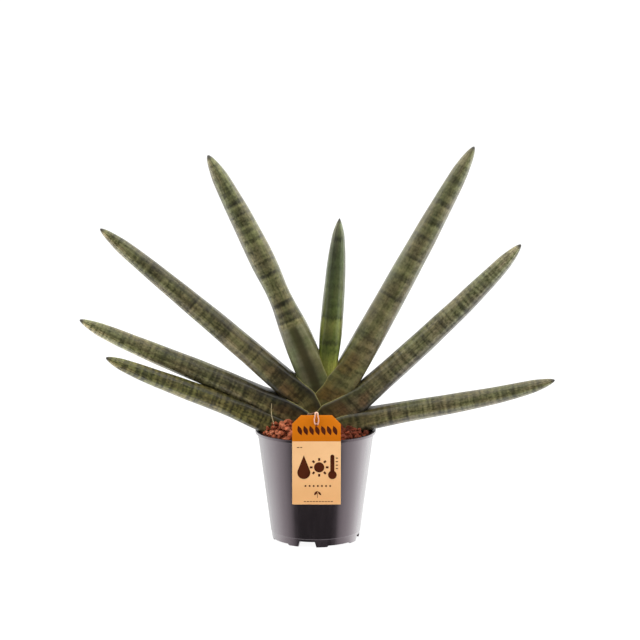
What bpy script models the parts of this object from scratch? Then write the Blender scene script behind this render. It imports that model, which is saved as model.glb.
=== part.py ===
"""Cylindrical snake plant growing in a 12 cm nursery pot, with its hang tag.

Lengths are in millimetres and angles in degrees; they become metres and radians where a mesh is
made. The origin is on the floor at the pot's axis: +Z is up, the front faces -Y, and the leaves
spread like a fan along X.
"""
import math
import random
from collections import namedtuple

import bmesh
import bpy
from mathutils import Matrix, Vector

MM = 0.001
# Clearance that touching pieces keep
GAP = 0.3
# Edges sharper than this stay crisp
SMOOTH_ANGLE = 38.0

# Pot: a thin moulded cup with a flared lip, standing on short feet beside four drain notches
POT_HEIGHT = 110.0
POT_FOOT_RADIUS = 43.2
POT_TOP_RADIUS = 57.7
POT_WALL = 1.0
LIP_RADIUS = 60.0
LIP_HEIGHT = 3.0
LIP_EDGE = 0.8
LIP_ROUND = 0.4
FLOOR_UNDERSIDE = 5.9
FLOOR_THICKNESS = 1.2
SKIRT_STEP_HEIGHT = 8.2
SKIRT_STEP = 0.4
# The skirt's inside leans in by this much up to the floor
SKIRT_DRAFT = 0.6
FOOT_HEIGHT = 1.5
FOOT_ARC = 15.0
NOTCH_HEIGHT = 5.7
NOTCH_ARC = 22.7
NOTCH_COUNT = 4
FIRST_NOTCH = -11.0
DRAIN_RADIUS = 3.5
DRAIN_PITCH = 30.0
POT_SIDES = 48

# Filling: soil up to a level bed, and clay granules heaped on it against the leaves
SOIL_TOP = 94.0
BED_WALL_TOP = 106.5
HEAP_RISE = 8.5
HEAP_LEFT_RISE = 5.0
HEAP_SHOULDER = 6
GRANULE_SPACING = 6.3
GRANULE_SIZES = (3.4, 4.6)
GRANULE_SINK = 0.1
GRANULE_TRIES = 4000
# How far in from the wall each ring of the bed's surface lies; the first lies within the wall
BED_RING_INSETS = (-1.2, 2.5, 7.0, 14.0, 24.0, 43.0)
# Half-widths of the crown at the heap's top, where leaves take the granules' place
CROWN_REACH = (34.0, 15.0)
GRANULE_SEED = 14

# Rhizome: the short upright stem that the leaves grow from, and its thick roots
STEM_X = 1.5
STEM_RADIUS = 8.0
STEM_TOP = 111.5
STEM_BOTTOM = 66.0
STEM_SIDES = 14
STEM_RINGS = 8
# Shares of the stem's radius lost at its foot, at each groove and at both ends
STEM_TAPER = 0.35
STEM_GROOVE = 0.12
STEM_END = 0.3
ROOT_COUNT = 5
ROOT_RADIUS = 1.6
ROOT_LENGTH = 34.0
ROOT_DROP = 24.0
ROOT_LOWEST_START = 5.0
ROOT_START_SPREAD = 14.0

# Leaves, innermost first, so each sheathes every leaf listed before it. tip and neck are places
# of the centre-line (neck in the fan's plane), rise and reach its slopes at those two places,
# girth, fullness and taper shape its width, sheath is its half-width at the neck, wrap how far
# its upper edge reaches on round the leaves inside it, depth the sheath's half-depth, foot the
# height where it joins the stem, and waist how much it is pinched halfway.
Leaf = namedtuple("Leaf", "name tip neck rise reach girth fullness taper sheath wrap depth foot waist")
LEAVES = (
    Leaf("leaf_centre", (23.5, 6, 320.2), (11.8, 170), 85, 86.6, 22.4, 3.2, 0.54, 9.3, 0, 9.3, 112, 0),
    Leaf("leaf_left_1", (-106.1, 16, 381.4), (-1.5, 160), 69.7, 61.2, 30.9, 1.35, 0.325, 14.8, 2, 11, 110, 0.21),
    Leaf("leaf_right_1", (156.2, 20, 389.6), (22.9, 149.8), 60.2, 61, 29.3, 1.8, 0.35, 14, 11, 12.5, 107, 0),
    Leaf("leaf_left_2", (-210.5, -10, 311.7), (-14.6, 143.4), 41.8, 39.7, 25.4, 1.55, 0.33, 12.3, 4.5, 14, 104, 0),
    Leaf("leaf_right_2", (201, -8, 296), (31.1, 130.4), 41.5, 48.5, 23.9, 2.4, 0.35, 11.8, 12, 15.5, 101, 0),
    Leaf("leaf_left_3", (-232.7, -4, 220.7), (-34, 130.7), 28.2, 27, 23.3, 2.1, 0.36, 11, 6, 17, 98, 0),
    Leaf("leaf_right_3", (235.3, -18, 162.9), (36, 117.3), 13.2, 19.1, 22, 1.55, 0.32, 9.7, 5, 18, 94, 0),
    Leaf("leaf_left_4", (-205.3, -26, 186.7), (-54, 121.4), 24.2, 26.6, 21.4, 1.8, 0.36, 10.8, 1, 19, 88, 0),
)
WAIST_PLACE = 0.63
WAIST_REACH = 0.08
TIP_LENGTH = 0.1
TIP_RADIUS = 0.4
TIP_BLUNTNESS = 0.2
# Above 1, the rings of a blade crowd towards its tip
TIP_CROWDING = 1.5
# Above 1, a blade leaves the fan's plane mostly towards its tip
TIP_LEAN = 1.2
FLARE_START = 0.72
LEAF_SIDES = 16
BLADE_RINGS = 13
SHEATH_RINGS = 6
SQUARENESS = 3.0
# The upper edge spreads from this far above the neck to this far below it
WRAP_ABOVE = 25.0
WRAP_BELOW = 20.0
FOOT_OFFSET = 1.5

# Hang tag: a card with two cut corners, leaning its top back over the pot's lip
TAG_WIDTH = 47.0
TAG_HEIGHT = 87.5
TAG_THICKNESS = 0.8
TAG_CORNER = 8.5
TAG_HOLE_RADIUS = 2.0
TAG_HOLE_DROP = 8.6
TAG_TOP = 136.0
TAG_TILT = 3.0
TAG_X = 0.9
HOLE_SIDES = 12

# Tag string: an elastic loop hitched through the hole, its tail run back to the crown
STRING_RADIUS = 0.6
STRING_SIDES = 6
KNOT_RADIUS = 1.6
# The knot's height over the tag's top edge and distance behind its back face
KNOT_RISE = 1.5
KNOT_BEHIND = 1.2
HITCH_HALF_WIDTH = 2.1
TAIL_KNOT_RADIUS = 1.3
# The string's tail, as steps from the knot
TAIL = ((0, 0, 0), (-0.6, 9.0, -1.1), (-1.8, 20.0, -3.4), (-4.2, 31.0, -6.4), (-8.0, 40.6, -9.3))

# One thin dry fibre that stands in the granules on the left
FIBRE_RADIUS = 0.35
FIBRE_SIDES = 5
FIBRE = ((-40.5, -25.0, 113), (-41.0, -24.5, 120), (-43.0, -23.5, 127), (-43.6, -21.5, 132.5),
         (-43.3, -19.5, 140))


def clear_scene():
    for item in list(bpy.data.objects):
        bpy.data.objects.remove(item, do_unlink=True)


def material(name, colour, roughness, metallic=0.0):
    made = bpy.data.materials.new(name)
    made.use_nodes = True
    shader = made.node_tree.nodes["Principled BSDF"]
    shader.inputs["Base Color"].default_value = (*colour, 1.0)
    shader.inputs["Roughness"].default_value = roughness
    shader.inputs["Metallic"].default_value = metallic
    return made


def solid(name, mesh, finish=None):
    """Put a bmesh made in millimetres into the scene as one object in metres."""
    bmesh.ops.scale(mesh, vec=(MM, MM, MM), verts=mesh.verts)
    bmesh.ops.recalc_face_normals(mesh, faces=mesh.faces)
    data = bpy.data.meshes.new(name)
    mesh.to_mesh(data)
    mesh.free()
    data.shade_smooth()
    data.set_sharp_from_angle(angle=math.radians(SMOOTH_ANGLE))
    made = bpy.data.objects.new(name, data)
    bpy.context.scene.collection.objects.link(made)
    if finish:
        data.materials.append(finish)
    return made


def loft(rings):
    """Skin a list of equal rings of points and close both ends."""
    mesh = bmesh.new()
    made = [[mesh.verts.new(point) for point in ring] for ring in rings]
    for low, high in zip(made, made[1:]):
        for i in range(len(low)):
            j = (i + 1) % len(low)
            mesh.faces.new((low[i], low[j], high[j], high[i]))
    mesh.faces.new(list(reversed(made[0])))
    mesh.faces.new(made[-1])
    return mesh


def turned(profile, sides):
    """Turn an outline of (radius, height) points, starting and ending on the axis, about Z."""
    rings = []
    for radius, height in profile[1:-1]:
        ring = []
        for i in range(sides):
            angle = 2 * math.pi * i / sides
            ring.append((radius * math.cos(angle), radius * math.sin(angle), height))
        rings.append(ring)
    return loft(rings)


def tube(points, radius, sides, ends=1.0):
    """A round rod along a list of points, its end rings scaled by ends."""
    points = [Vector(point) for point in points]
    rings = []
    across = Vector((0, 0, 1))
    for i, point in enumerate(points):
        ahead = points[min(i + 1, len(points) - 1)] - points[max(i - 1, 0)]
        ahead.normalize()
        across = across - ahead * across.dot(ahead)
        if across.length < 0.05:
            across = ahead.orthogonal()
        across.normalize()
        beside = ahead.cross(across)
        scale = ends if i in (0, len(points) - 1) else 1.0
        ring = []
        for k in range(sides):
            turn = 2 * math.pi * k / sides
            ring.append(point + (across * math.cos(turn) + beside * math.sin(turn)) * radius * scale)
        rings.append(ring)
    return loft(rings)


def smooth_path(points, steps):
    """A curve that passes through every point, with steps points between each two."""
    points = [Vector(point) for point in points]
    padded = [2 * points[0] - points[1], *points, 2 * points[-1] - points[-2]]
    path = []
    for a, b, c, d in zip(padded, padded[1:], padded[2:], padded[3:]):
        for k in range(steps):
            u = k / steps
            bend = (2 * a - 5 * b + 4 * c - d) * u * u + (3 * b - a - 3 * c + d) * u ** 3
            path.append(b + 0.5 * ((c - a) * u + bend))
    path.append(points[-1])
    return path


def combine(target, others, operation, solver="EXACT"):
    """Cut or join other objects with target, apply the result and remove the others."""
    group = bpy.data.collections.new("tools")
    bpy.context.scene.collection.children.link(group)
    for other in others:
        group.objects.link(other)
    step = target.modifiers.new("combine", "BOOLEAN")
    step.operation = operation
    step.operand_type = "COLLECTION"
    step.collection = group
    step.solver = solver
    depsgraph = bpy.context.evaluated_depsgraph_get()
    data = bpy.data.meshes.new_from_object(target.evaluated_get(depsgraph))
    target.modifiers.clear()
    target.data = data
    data.set_sharp_from_angle(angle=math.radians(SMOOTH_ANGLE))
    for other in others:
        bpy.data.objects.remove(other, do_unlink=True)
    bpy.data.collections.remove(group)


def keep_largest(target):
    """Drop the loose scraps that a cut has left beside the main body."""
    mesh = bmesh.new()
    mesh.from_mesh(target.data)
    left = set(mesh.verts)
    bodies = []
    while left:
        front = [left.pop()]
        body = set(front)
        while front:
            vert = front.pop()
            for edge in vert.link_edges:
                other = edge.other_vert(vert)
                if other not in body:
                    body.add(other)
                    left.discard(other)
                    front.append(other)
        bodies.append(body)
    bodies.sort(key=len)
    for body in bodies[:-1]:
        bmesh.ops.delete(mesh, geom=list(body), context="VERTS")
    mesh.to_mesh(target.data)
    mesh.free()


def bezier(a, b, c, d, u):
    v = 1 - u
    return a * v ** 3 + b * 3 * v * v * u + c * 3 * v * u * u + d * u ** 3


def ease(value):
    value = max(0.0, min(1.0, value))
    return value * value * (3 - 2 * value)


def leaf_heading(leaf, slope):
    """Unit direction in the fan's plane that climbs away from the stem at a slope."""
    side = 1 if leaf.tip[0] > 0 else -1
    return Vector((side * math.cos(math.radians(slope)), 0, math.sin(math.radians(slope))))


def leaf_spine(leaf):
    """Centre-line stations of a leaf from tip to foot, each a point and its share of the way.

    The share runs from 0 at the tip to 1 at the neck, and on to 2 at the foot.
    """
    side = 1 if leaf.tip[0] > 0 else -1
    offset = 0 if leaf.name == "leaf_centre" else side * FOOT_OFFSET
    tip = Vector((leaf.tip[0], 0, leaf.tip[2]))
    neck = Vector((leaf.neck[0], 0, leaf.neck[1]))
    foot = Vector((STEM_X + offset, 0, leaf.foot))
    handle = (tip - neck).length / 3
    blade = (tip, tip - leaf_heading(leaf, leaf.reach) * handle,
             neck + leaf_heading(leaf, leaf.rise) * handle, neck)
    handle = (neck - foot).length / 3
    # The sheath steepens on its way down to the stem
    lift = leaf_heading(leaf, (leaf.rise + 90) / 2) * handle
    sheath = (neck, neck - leaf_heading(leaf, leaf.rise) * handle, foot + lift, foot)
    stations = []
    for i in range(BLADE_RINGS + 1):
        share = (i / BLADE_RINGS) ** TIP_CROWDING
        point = bezier(*blade, share)
        point.y = leaf.tip[1] * (1 - share) ** TIP_LEAN
        stations.append((point, share))
    for i in range(1, SHEATH_RINGS + 1):
        share = i / SHEATH_RINGS
        stations.append((bezier(*sheath, share), 1 + share))
    return stations


def leaf_half_width(leaf, share):
    """Half of the leaf's width in the fan's plane."""
    along = min(share, 1.0)
    half = leaf.girth / 2 * (1 - (1 - along) ** leaf.fullness) ** leaf.taper
    if along < TIP_LENGTH:
        half *= (along / TIP_LENGTH) ** TIP_BLUNTNESS
    half *= 1 - leaf.waist * math.exp(-0.5 * ((along - WAIST_PLACE) / WAIST_REACH) ** 2)
    flare = ease((along - FLARE_START) / (1 - FLARE_START))
    half += (leaf.sheath - half) * flare
    return max(half, TIP_RADIUS)


def leaf_half_depth(leaf, share):
    """Half of the leaf's depth across the fan: round along the blade, deep at the sheath."""
    along = min(share, 1.0)
    flare = ease((along - FLARE_START) / (1 - FLARE_START))
    width = leaf_half_width(leaf, along)
    return width + (leaf.depth - width) * flare


def leaf_wrap(leaf, share):
    """How far the sheath's upper edge reaches past its half-width, round the leaves inside."""
    if share < 1:
        below = (share - 1) * math.hypot(leaf.tip[0] - leaf.neck[0], leaf.tip[2] - leaf.neck[1])
    else:
        below = (share - 1) * math.hypot(leaf.neck[0] - STEM_X, leaf.neck[1] - leaf.foot)
    spread = (below + WRAP_ABOVE) / (WRAP_BELOW + WRAP_ABOVE)
    return leaf.wrap * max(0.0, min(1.0, spread))


def leaf_body(leaf, clearance=0.0):
    """The whole leaf as one swept solid, before its neighbours are cut out of it."""
    stations = leaf_spine(leaf)
    places = [point for point, _ in stations]
    rings = []
    for i, (point, share) in enumerate(stations):
        ahead = places[min(i + 1, len(places) - 1)] - places[max(i - 1, 0)]
        ahead.normalize()
        deep = (Vector((0, 1, 0)) - ahead * ahead.y).normalized()
        wide = deep.cross(ahead)
        half_width = leaf_half_width(leaf, share) + clearance
        half_depth = leaf_half_depth(leaf, share) + clearance
        wrap = leaf_wrap(leaf, share)
        # The sheath's section is squarer than a plain oval, so its clasping edges stay thick
        power = 2 / (2 + SQUARENESS * ease((share - FLARE_START) / (1 - FLARE_START)))
        if i in (0, len(stations) - 1):
            point = point + ahead * (clearance if i else -clearance)
        ring = []
        for k in range(LEAF_SIDES):
            turn = 2 * math.pi * (k + 0.5) / LEAF_SIDES
            across = math.copysign(abs(math.cos(turn)) ** power, math.cos(turn))
            across *= half_width + (wrap if across * leaf.tip[0] > 0 else 0)
            through = math.copysign(abs(math.sin(turn)) ** power, math.sin(turn)) * half_depth
            ring.append(point + wide * across + deep * through)
        rings.append(ring)
    return loft(rings)


def build_leaves(finish):
    """Sweep each leaf, then cut the stem and every leaf inside it out of its sheath."""
    for place, leaf in enumerate(LEAVES):
        made = solid(leaf.name, leaf_body(leaf), finish)
        cutters = [solid("cutter", leaf_body(inner, GAP)) for inner in LEAVES[:place]]
        cutters.append(solid("cutter", stem_body(GAP)))
        for cutter in cutters:
            combine(made, [cutter], "DIFFERENCE", "MANIFOLD")
        keep_largest(made)


def stem_body(clearance=0.0):
    """The upright rhizome: thick and ringed, narrowing to a blunt top."""
    outline = [(0, STEM_BOTTOM - clearance)]
    for i in range(STEM_RINGS + 1):
        share = i / STEM_RINGS
        height = STEM_BOTTOM + (STEM_TOP - STEM_BOTTOM) * share
        radius = STEM_RADIUS * (1 - STEM_TAPER * (1 - share) ** 3) * (1 - STEM_GROOVE * (i % 2))
        if i in (0, STEM_RINGS):
            radius *= 1 - STEM_END
            height += clearance if i else -clearance
        outline.append((radius + clearance, height))
    outline.append((0, STEM_TOP + clearance))
    mesh = turned(outline, STEM_SIDES)
    bmesh.ops.translate(mesh, vec=(STEM_X, 0, 0), verts=mesh.verts)
    return mesh


def root_bodies(clearance=0.0):
    """Thick fleshy roots that arch out and down from the lower half of the stem."""
    roots = []
    for i in range(ROOT_COUNT):
        heading = 2 * math.pi * (i + 0.4 * math.sin(5 * i)) / ROOT_COUNT
        start = STEM_BOTTOM + ROOT_LOWEST_START + ROOT_START_SPREAD * ((i * 3) % ROOT_COUNT) / ROOT_COUNT
        length = ROOT_LENGTH * (0.75 + 0.25 * math.cos(3 * i))
        inside = STEM_RADIUS * 0.4
        points = []
        for k in range(6):
            share = k / 5
            reach = inside + (length - inside) * share
            points.append((STEM_X + reach * math.cos(heading), reach * math.sin(heading),
                           start - ROOT_DROP * share ** 1.6))
        roots.append(tube(points, ROOT_RADIUS + clearance, 6, 0.6))
    return roots


def rhizome(name, clearance=0.0, finish=None):
    made = solid(name, stem_body(clearance), finish)
    combine(made, [solid("root", root, finish) for root in root_bodies(clearance)], "UNION")
    return made


def pot_wall_radius(height):
    """Outer radius of the pot's straight tapering wall."""
    share = height / (POT_HEIGHT - LIP_HEIGHT)
    return POT_FOOT_RADIUS + (POT_TOP_RADIUS - POT_FOOT_RADIUS) * share


def sector(inner, outer, low, high, middle, arc):
    """A block between two radii and two heights over an arc about the pot's axis."""
    steps = max(2, int(arc / 6) + 1)
    rings = []
    for i in range(steps + 1):
        # An angle of 0 faces the front and grows to the right
        angle = math.radians(middle - arc / 2 + arc * i / steps)
        out = Vector((math.sin(angle), -math.cos(angle), 0))
        rings.append([out * inner + Vector((0, 0, low)), out * outer + Vector((0, 0, low)),
                      out * outer + Vector((0, 0, high)), out * inner + Vector((0, 0, high))])
    return loft(rings)


def build_pot(finish):
    lip_foot = POT_HEIGHT - LIP_HEIGHT
    floor_top = FLOOR_UNDERSIDE + FLOOR_THICKNESS
    step_radius = pot_wall_radius(SKIRT_STEP_HEIGHT)
    skirt_inner = pot_wall_radius(0) - 2 * POT_WALL
    outline = [
        (0, FLOOR_UNDERSIDE),
        (skirt_inner - SKIRT_DRAFT, FLOOR_UNDERSIDE),
        (skirt_inner, 0),
        (pot_wall_radius(0), 0),
        (step_radius, SKIRT_STEP_HEIGHT),
        (step_radius + SKIRT_STEP, SKIRT_STEP_HEIGHT + SKIRT_STEP),
        (pot_wall_radius(lip_foot), lip_foot),
        (LIP_RADIUS - LIP_ROUND, lip_foot + LIP_ROUND / 2),
        (LIP_RADIUS, lip_foot + LIP_EDGE),
        (LIP_RADIUS, POT_HEIGHT - LIP_EDGE),
        (LIP_RADIUS - LIP_EDGE, POT_HEIGHT),
        (pot_wall_radius(POT_HEIGHT) - POT_WALL + LIP_ROUND, POT_HEIGHT),
        (pot_wall_radius(POT_HEIGHT) - POT_WALL, POT_HEIGHT - LIP_EDGE),
        (pot_wall_radius(floor_top) - POT_WALL, floor_top),
        (0, floor_top),
    ]
    made = solid("pot", turned(outline, POT_SIDES), finish)
    cutters = []
    pitch = 360 / NOTCH_COUNT
    plain_arc = pitch - NOTCH_ARC - 2 * FOOT_ARC
    inside = skirt_inner - 3 * SKIRT_DRAFT
    below = -FOOT_HEIGHT
    for i in range(NOTCH_COUNT):
        middle = FIRST_NOTCH + pitch * i
        notch = sector(inside, LIP_RADIUS, below, NOTCH_HEIGHT, middle, NOTCH_ARC)
        plain = sector(inside, LIP_RADIUS, below, FOOT_HEIGHT, middle + pitch / 2, plain_arc)
        angle = math.radians(middle)
        drain = bmesh.new()
        bmesh.ops.create_cone(drain, cap_ends=True, segments=HOLE_SIDES, radius1=DRAIN_RADIUS,
                              radius2=DRAIN_RADIUS, depth=6 * FLOOR_THICKNESS)
        place = Vector((math.sin(angle), -math.cos(angle), 0)) * DRAIN_PITCH
        place.z = floor_top
        bmesh.ops.translate(drain, vec=place, verts=drain.verts)
        cutters += [solid("cutter", notch), solid("cutter", plain), solid("cutter", drain)]
    combine(made, cutters, "DIFFERENCE")


def heap_height(x, y):
    """Height of the bed of granules before the granules on it are added."""
    radius = math.hypot(x, y)
    wall = pot_wall_radius(BED_WALL_TOP) - POT_WALL
    left = ease(-x / wall + 0.5) * ease(-y / wall + 0.6)
    rise = HEAP_RISE + HEAP_LEFT_RISE * left
    return BED_WALL_TOP + rise * (1 - min(1, radius / wall) ** HEAP_SHOULDER)


def granule_bed():
    """The heap under the loose granules: level below, domed above."""
    low = SOIL_TOP + GAP
    wall = pot_wall_radius(low) - POT_WALL - GAP
    rings = []
    for radius in (wall * 0.4, wall):
        rings.append([(radius * math.cos(2 * math.pi * i / POT_SIDES),
                       radius * math.sin(2 * math.pi * i / POT_SIDES), low)
                      for i in range(POT_SIDES)])
    for inset in BED_RING_INSETS:
        radius = wall - inset
        ring = []
        for i in range(POT_SIDES):
            x = radius * math.cos(2 * math.pi * i / POT_SIDES)
            y = radius * math.sin(2 * math.pi * i / POT_SIDES)
            ring.append((x, y, heap_height(x, y)))
        rings.append(ring)
    return loft(rings)


def granule_places(random_source):
    """Spots for the granules over the heap, none nearer to another than their spacing."""
    wall = pot_wall_radius(BED_WALL_TOP) - POT_WALL - GAP - GRANULE_SIZES[1]
    places = []
    for _ in range(GRANULE_TRIES):
        x = random_source.uniform(-wall, wall)
        y = random_source.uniform(-wall, wall)
        crown = math.hypot(x / CROWN_REACH[0], y / CROWN_REACH[1])
        if math.hypot(x, y) > wall or crown < 1:
            continue
        if all(math.hypot(x - a, y - b) > GRANULE_SPACING for a, b in places):
            places.append((x, y))
    return places


def granule(random_source, x, y):
    """One chipped clay granule, half sunk in the heap."""
    mesh = bmesh.new()
    bmesh.ops.create_icosphere(mesh, subdivisions=1, radius=1.0)
    size = random_source.uniform(*GRANULE_SIZES)
    for vert in mesh.verts:
        vert.co *= size * random_source.uniform(0.8, 1.1)
    stretch = Vector([random_source.uniform(0.75, 1.1) for _ in range(3)])
    bmesh.ops.scale(mesh, vec=stretch, verts=mesh.verts)
    turn = Matrix.Rotation(random_source.uniform(0, math.pi), 3,
                           Vector([random_source.uniform(-1, 1) for _ in range(3)]))
    bmesh.ops.rotate(mesh, matrix=turn, verts=mesh.verts)
    height = heap_height(x, y) - size * GRANULE_SINK
    bmesh.ops.translate(mesh, vec=(x, y, height), verts=mesh.verts)
    return mesh


def leaf_room():
    """Every leaf with its clearance, to be cut out of what the plant stands in."""
    return [solid("cutter", leaf_body(leaf, GAP)) for leaf in LEAVES]


def build_filling(soil_finish, granule_finish):
    floor_top = FLOOR_UNDERSIDE + FLOOR_THICKNESS + GAP
    low_radius = pot_wall_radius(floor_top) - POT_WALL - GAP
    top_radius = pot_wall_radius(SOIL_TOP) - POT_WALL - GAP
    outline = [(0, floor_top), (low_radius, floor_top), (top_radius, SOIL_TOP), (0, SOIL_TOP)]
    soil = solid("potting_soil", turned(outline, POT_SIDES), soil_finish)
    for cutter in [*leaf_room(), rhizome("cutter", GAP)]:
        combine(soil, [cutter], "DIFFERENCE", "MANIFOLD")
    keep_largest(soil)

    bed = solid("clay_granules", granule_bed(), granule_finish)
    source = random.Random(GRANULE_SEED)
    chips = [solid("chip", granule(source, x, y)) for x, y in granule_places(source)]
    for chip in chips:
        combine(bed, [chip], "UNION", "MANIFOLD")
    for cutter in [*leaf_room(), solid("cutter", stem_body(GAP)), solid("cutter", fibre_body(GAP))]:
        combine(bed, [cutter], "DIFFERENCE", "MANIFOLD")
    keep_largest(bed)


def tag_frame():
    """Place and axes of the tag: the middle of its top edge on the front face, and its down axis."""
    tilt = math.radians(TAG_TILT)
    down = Vector((0, -math.sin(tilt), -math.cos(tilt)))
    back = Vector((0, math.cos(tilt), -math.sin(tilt)))
    # The back of the card clears the lip's front edge by the usual gap
    lip = Vector((TAG_X, -LIP_RADIUS - GAP, POT_HEIGHT - LIP_EDGE))
    top = lip - back * TAG_THICKNESS - down * ((TAG_TOP - lip.z) / math.cos(tilt))
    return top, down, back


def build_tag(finish):
    top, down, back = tag_frame()
    half = TAG_WIDTH / 2
    right = Vector((1, 0, 0))
    outline = [(-half + TAG_CORNER, 0), (half - TAG_CORNER, 0), (half, TAG_CORNER),
               (half, TAG_HEIGHT), (-half, TAG_HEIGHT), (-half, TAG_CORNER)]
    rings = []
    for offset in (0, TAG_THICKNESS):
        rings.append([top + right * x + down * drop + back * offset for x, drop in outline])
    card = solid("tag_card", loft(rings), finish)
    hole = top + down * TAG_HOLE_DROP
    reach = back * (2 * TAG_THICKNESS)
    punch = tube([hole - reach, hole + reach], TAG_HOLE_RADIUS, HOLE_SIDES)
    combine(card, [solid("cutter", punch)], "DIFFERENCE")


def string_route():
    """Centre-lines of the hitch through the tag's hole and of the tail, and the knot's centre."""
    top, down, back = tag_frame()
    right = Vector((1, 0, 0))
    clear = STRING_RADIUS + GAP
    knot = top - down * KNOT_RISE + back * (TAG_THICKNESS + KNOT_BEHIND)
    # Stations of one strand of the hitch: distance from the middle, down from the top edge,
    # and back from the card's front face
    strand = (
        (0.75, -KNOT_RISE, TAG_THICKNESS + 1.0),
        (1.3, -1.9, 0.3),
        (HITCH_HALF_WIDTH - 0.2, 1.4, -clear),
        (HITCH_HALF_WIDTH, 4.2, -clear),
        (HITCH_HALF_WIDTH - 0.5, TAG_HOLE_DROP - 1.0, -clear),
        (1.15, TAG_HOLE_DROP + 0.4, TAG_THICKNESS / 2),
        (1.0, TAG_HOLE_DROP + 0.2, TAG_THICKNESS + clear),
    )
    hitch = [top - right * x + down * drop + back * deep for x, drop, deep in strand]
    hitch.append(top + down * TAG_HOLE_DROP + back * (TAG_THICKNESS + clear + 1.1))
    hitch += [top + right * x + down * drop + back * deep for x, drop, deep in reversed(strand)]
    tail = [knot + Vector(step) for step in TAIL]
    return hitch, tail, knot


def ball(centre, radius):
    mesh = bmesh.new()
    bmesh.ops.create_icosphere(mesh, subdivisions=2, radius=radius)
    bmesh.ops.translate(mesh, vec=centre, verts=mesh.verts)
    return mesh


def build_string(finish):
    hitch, tail, knot = string_route()
    made = solid("tag_string", ball(knot, KNOT_RADIUS), finish)
    parts = [
        tube(smooth_path(hitch, 3), STRING_RADIUS, STRING_SIDES, 0.6),
        tube(smooth_path(tail, 3), STRING_RADIUS, STRING_SIDES),
        ball(tail[-1], TAIL_KNOT_RADIUS),
    ]
    combine(made, [solid("strand", part) for part in parts], "UNION")


def fibre_body(clearance=0.0):
    return tube(smooth_path(FIBRE, 2), FIBRE_RADIUS + clearance, FIBRE_SIDES, 0.6)


def build_fibre(finish):
    solid("dry_fibre", fibre_body(), finish)


def main():
    clear_scene()
    build_pot(material("black_plastic", (0.018, 0.015, 0.017), 0.3))
    build_leaves(material("leaf_skin", (0.075, 0.09, 0.035), 0.45))
    rhizome("rhizome", finish=material("rhizome_skin", (0.42, 0.3, 0.16), 0.7))
    build_filling(material("potting_soil", (0.035, 0.022, 0.014), 0.95),
                  material("fired_clay", (0.3, 0.09, 0.045), 0.85))
    build_tag(material("tag_card", (0.88, 0.55, 0.29), 0.6))
    build_string(material("elastic", (0.82, 0.68, 0.6), 0.7))
    build_fibre(material("dry_fibre", (0.5, 0.42, 0.24), 0.8))


main()
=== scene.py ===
"""Looks of a cylindrical snake plant in its nursery pot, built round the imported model.

Lengths are in millimetres and angles in degrees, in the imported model's frame: the origin is on
the floor at the pot's axis, +Z is up, the front faces -Y and the leaves spread along X. They
become metres and radians where a mesh is made. Colours are linear.
"""
import math
import random
from collections import defaultdict, namedtuple
from contextlib import contextmanager

import bmesh
import bpy
import numpy as np
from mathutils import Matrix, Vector, noise
from mathutils.bvhtree import BVHTree


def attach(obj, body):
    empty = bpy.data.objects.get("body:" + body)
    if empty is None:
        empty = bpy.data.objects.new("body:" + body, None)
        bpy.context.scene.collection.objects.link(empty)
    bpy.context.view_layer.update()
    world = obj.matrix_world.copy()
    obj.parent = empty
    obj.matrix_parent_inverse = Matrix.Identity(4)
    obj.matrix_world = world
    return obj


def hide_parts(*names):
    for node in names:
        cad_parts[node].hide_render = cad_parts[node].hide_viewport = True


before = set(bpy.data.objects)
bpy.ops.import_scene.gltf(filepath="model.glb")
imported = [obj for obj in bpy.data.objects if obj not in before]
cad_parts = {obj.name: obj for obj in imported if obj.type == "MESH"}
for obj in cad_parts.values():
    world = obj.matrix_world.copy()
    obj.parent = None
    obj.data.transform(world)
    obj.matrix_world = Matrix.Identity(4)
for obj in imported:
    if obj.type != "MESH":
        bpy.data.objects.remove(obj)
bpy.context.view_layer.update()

MM = 0.001
GAP = 0.3
SMOOTH_ANGLE = 38.0
WHITE = (1.0, 1.0, 1.0)
UP = Vector((0, 0, 1))
RIGHT = Vector((1, 0, 0))

# Camera: where the photograph was taken from
CAMERA_PLACE = (4.3, -2200.0, 568.0)
CAMERA_DIP = 8.992
CAMERA_LENS = 126.887
CAMERA_SENSOR = 36.0
CAMERA_REACH = 100.0

# Studio: a pale sweep lit from below, wide soft panels on both sides, a soft box overhead and a
# dim front
FLOOR_HALF_WIDTH = 9000.0
FLOOR_FRONT = -7000.0
SWEEP_START = 1500.0
SWEEP_RADIUS = 1200.0
SWEEP_HEIGHT = 4000.0
# The floor is only just white to the camera, so it doesn't wash over the edges of the leaves
FLOOR_COLOUR = (0.1, 0.1, 0.1)
FLOOR_GLOW = 0.93
# Brightness round the object, each with its angle from the front, to the left below zero
SIDE_LIGHT = ((-180, 1.2), (-162, 1.5), (-144, 2.4), (-121, 3.9), (-104, 4.3), (-90, 3.75),
              (-77, 3.25), (-65, 2.2), (-60.5, 1.7), (-55.5, 0.24), (55.5, 0.24), (60.5, 2.2),
              (65, 2.9), (77, 3.5), (90, 3.9), (104, 4.45), (121, 4.7), (144, 3.4), (162, 1.8),
              (180, 1.2))
BRIGHTEST = 5.0
OVERHEAD_LIGHT = 3.5
OVERHEAD_START = 38.0
OVERHEAD_FULL = 50.0
UNDER_LIGHT = 3.5
UNDER_START = 40.0
UNDER_FULL = 54.0

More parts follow.
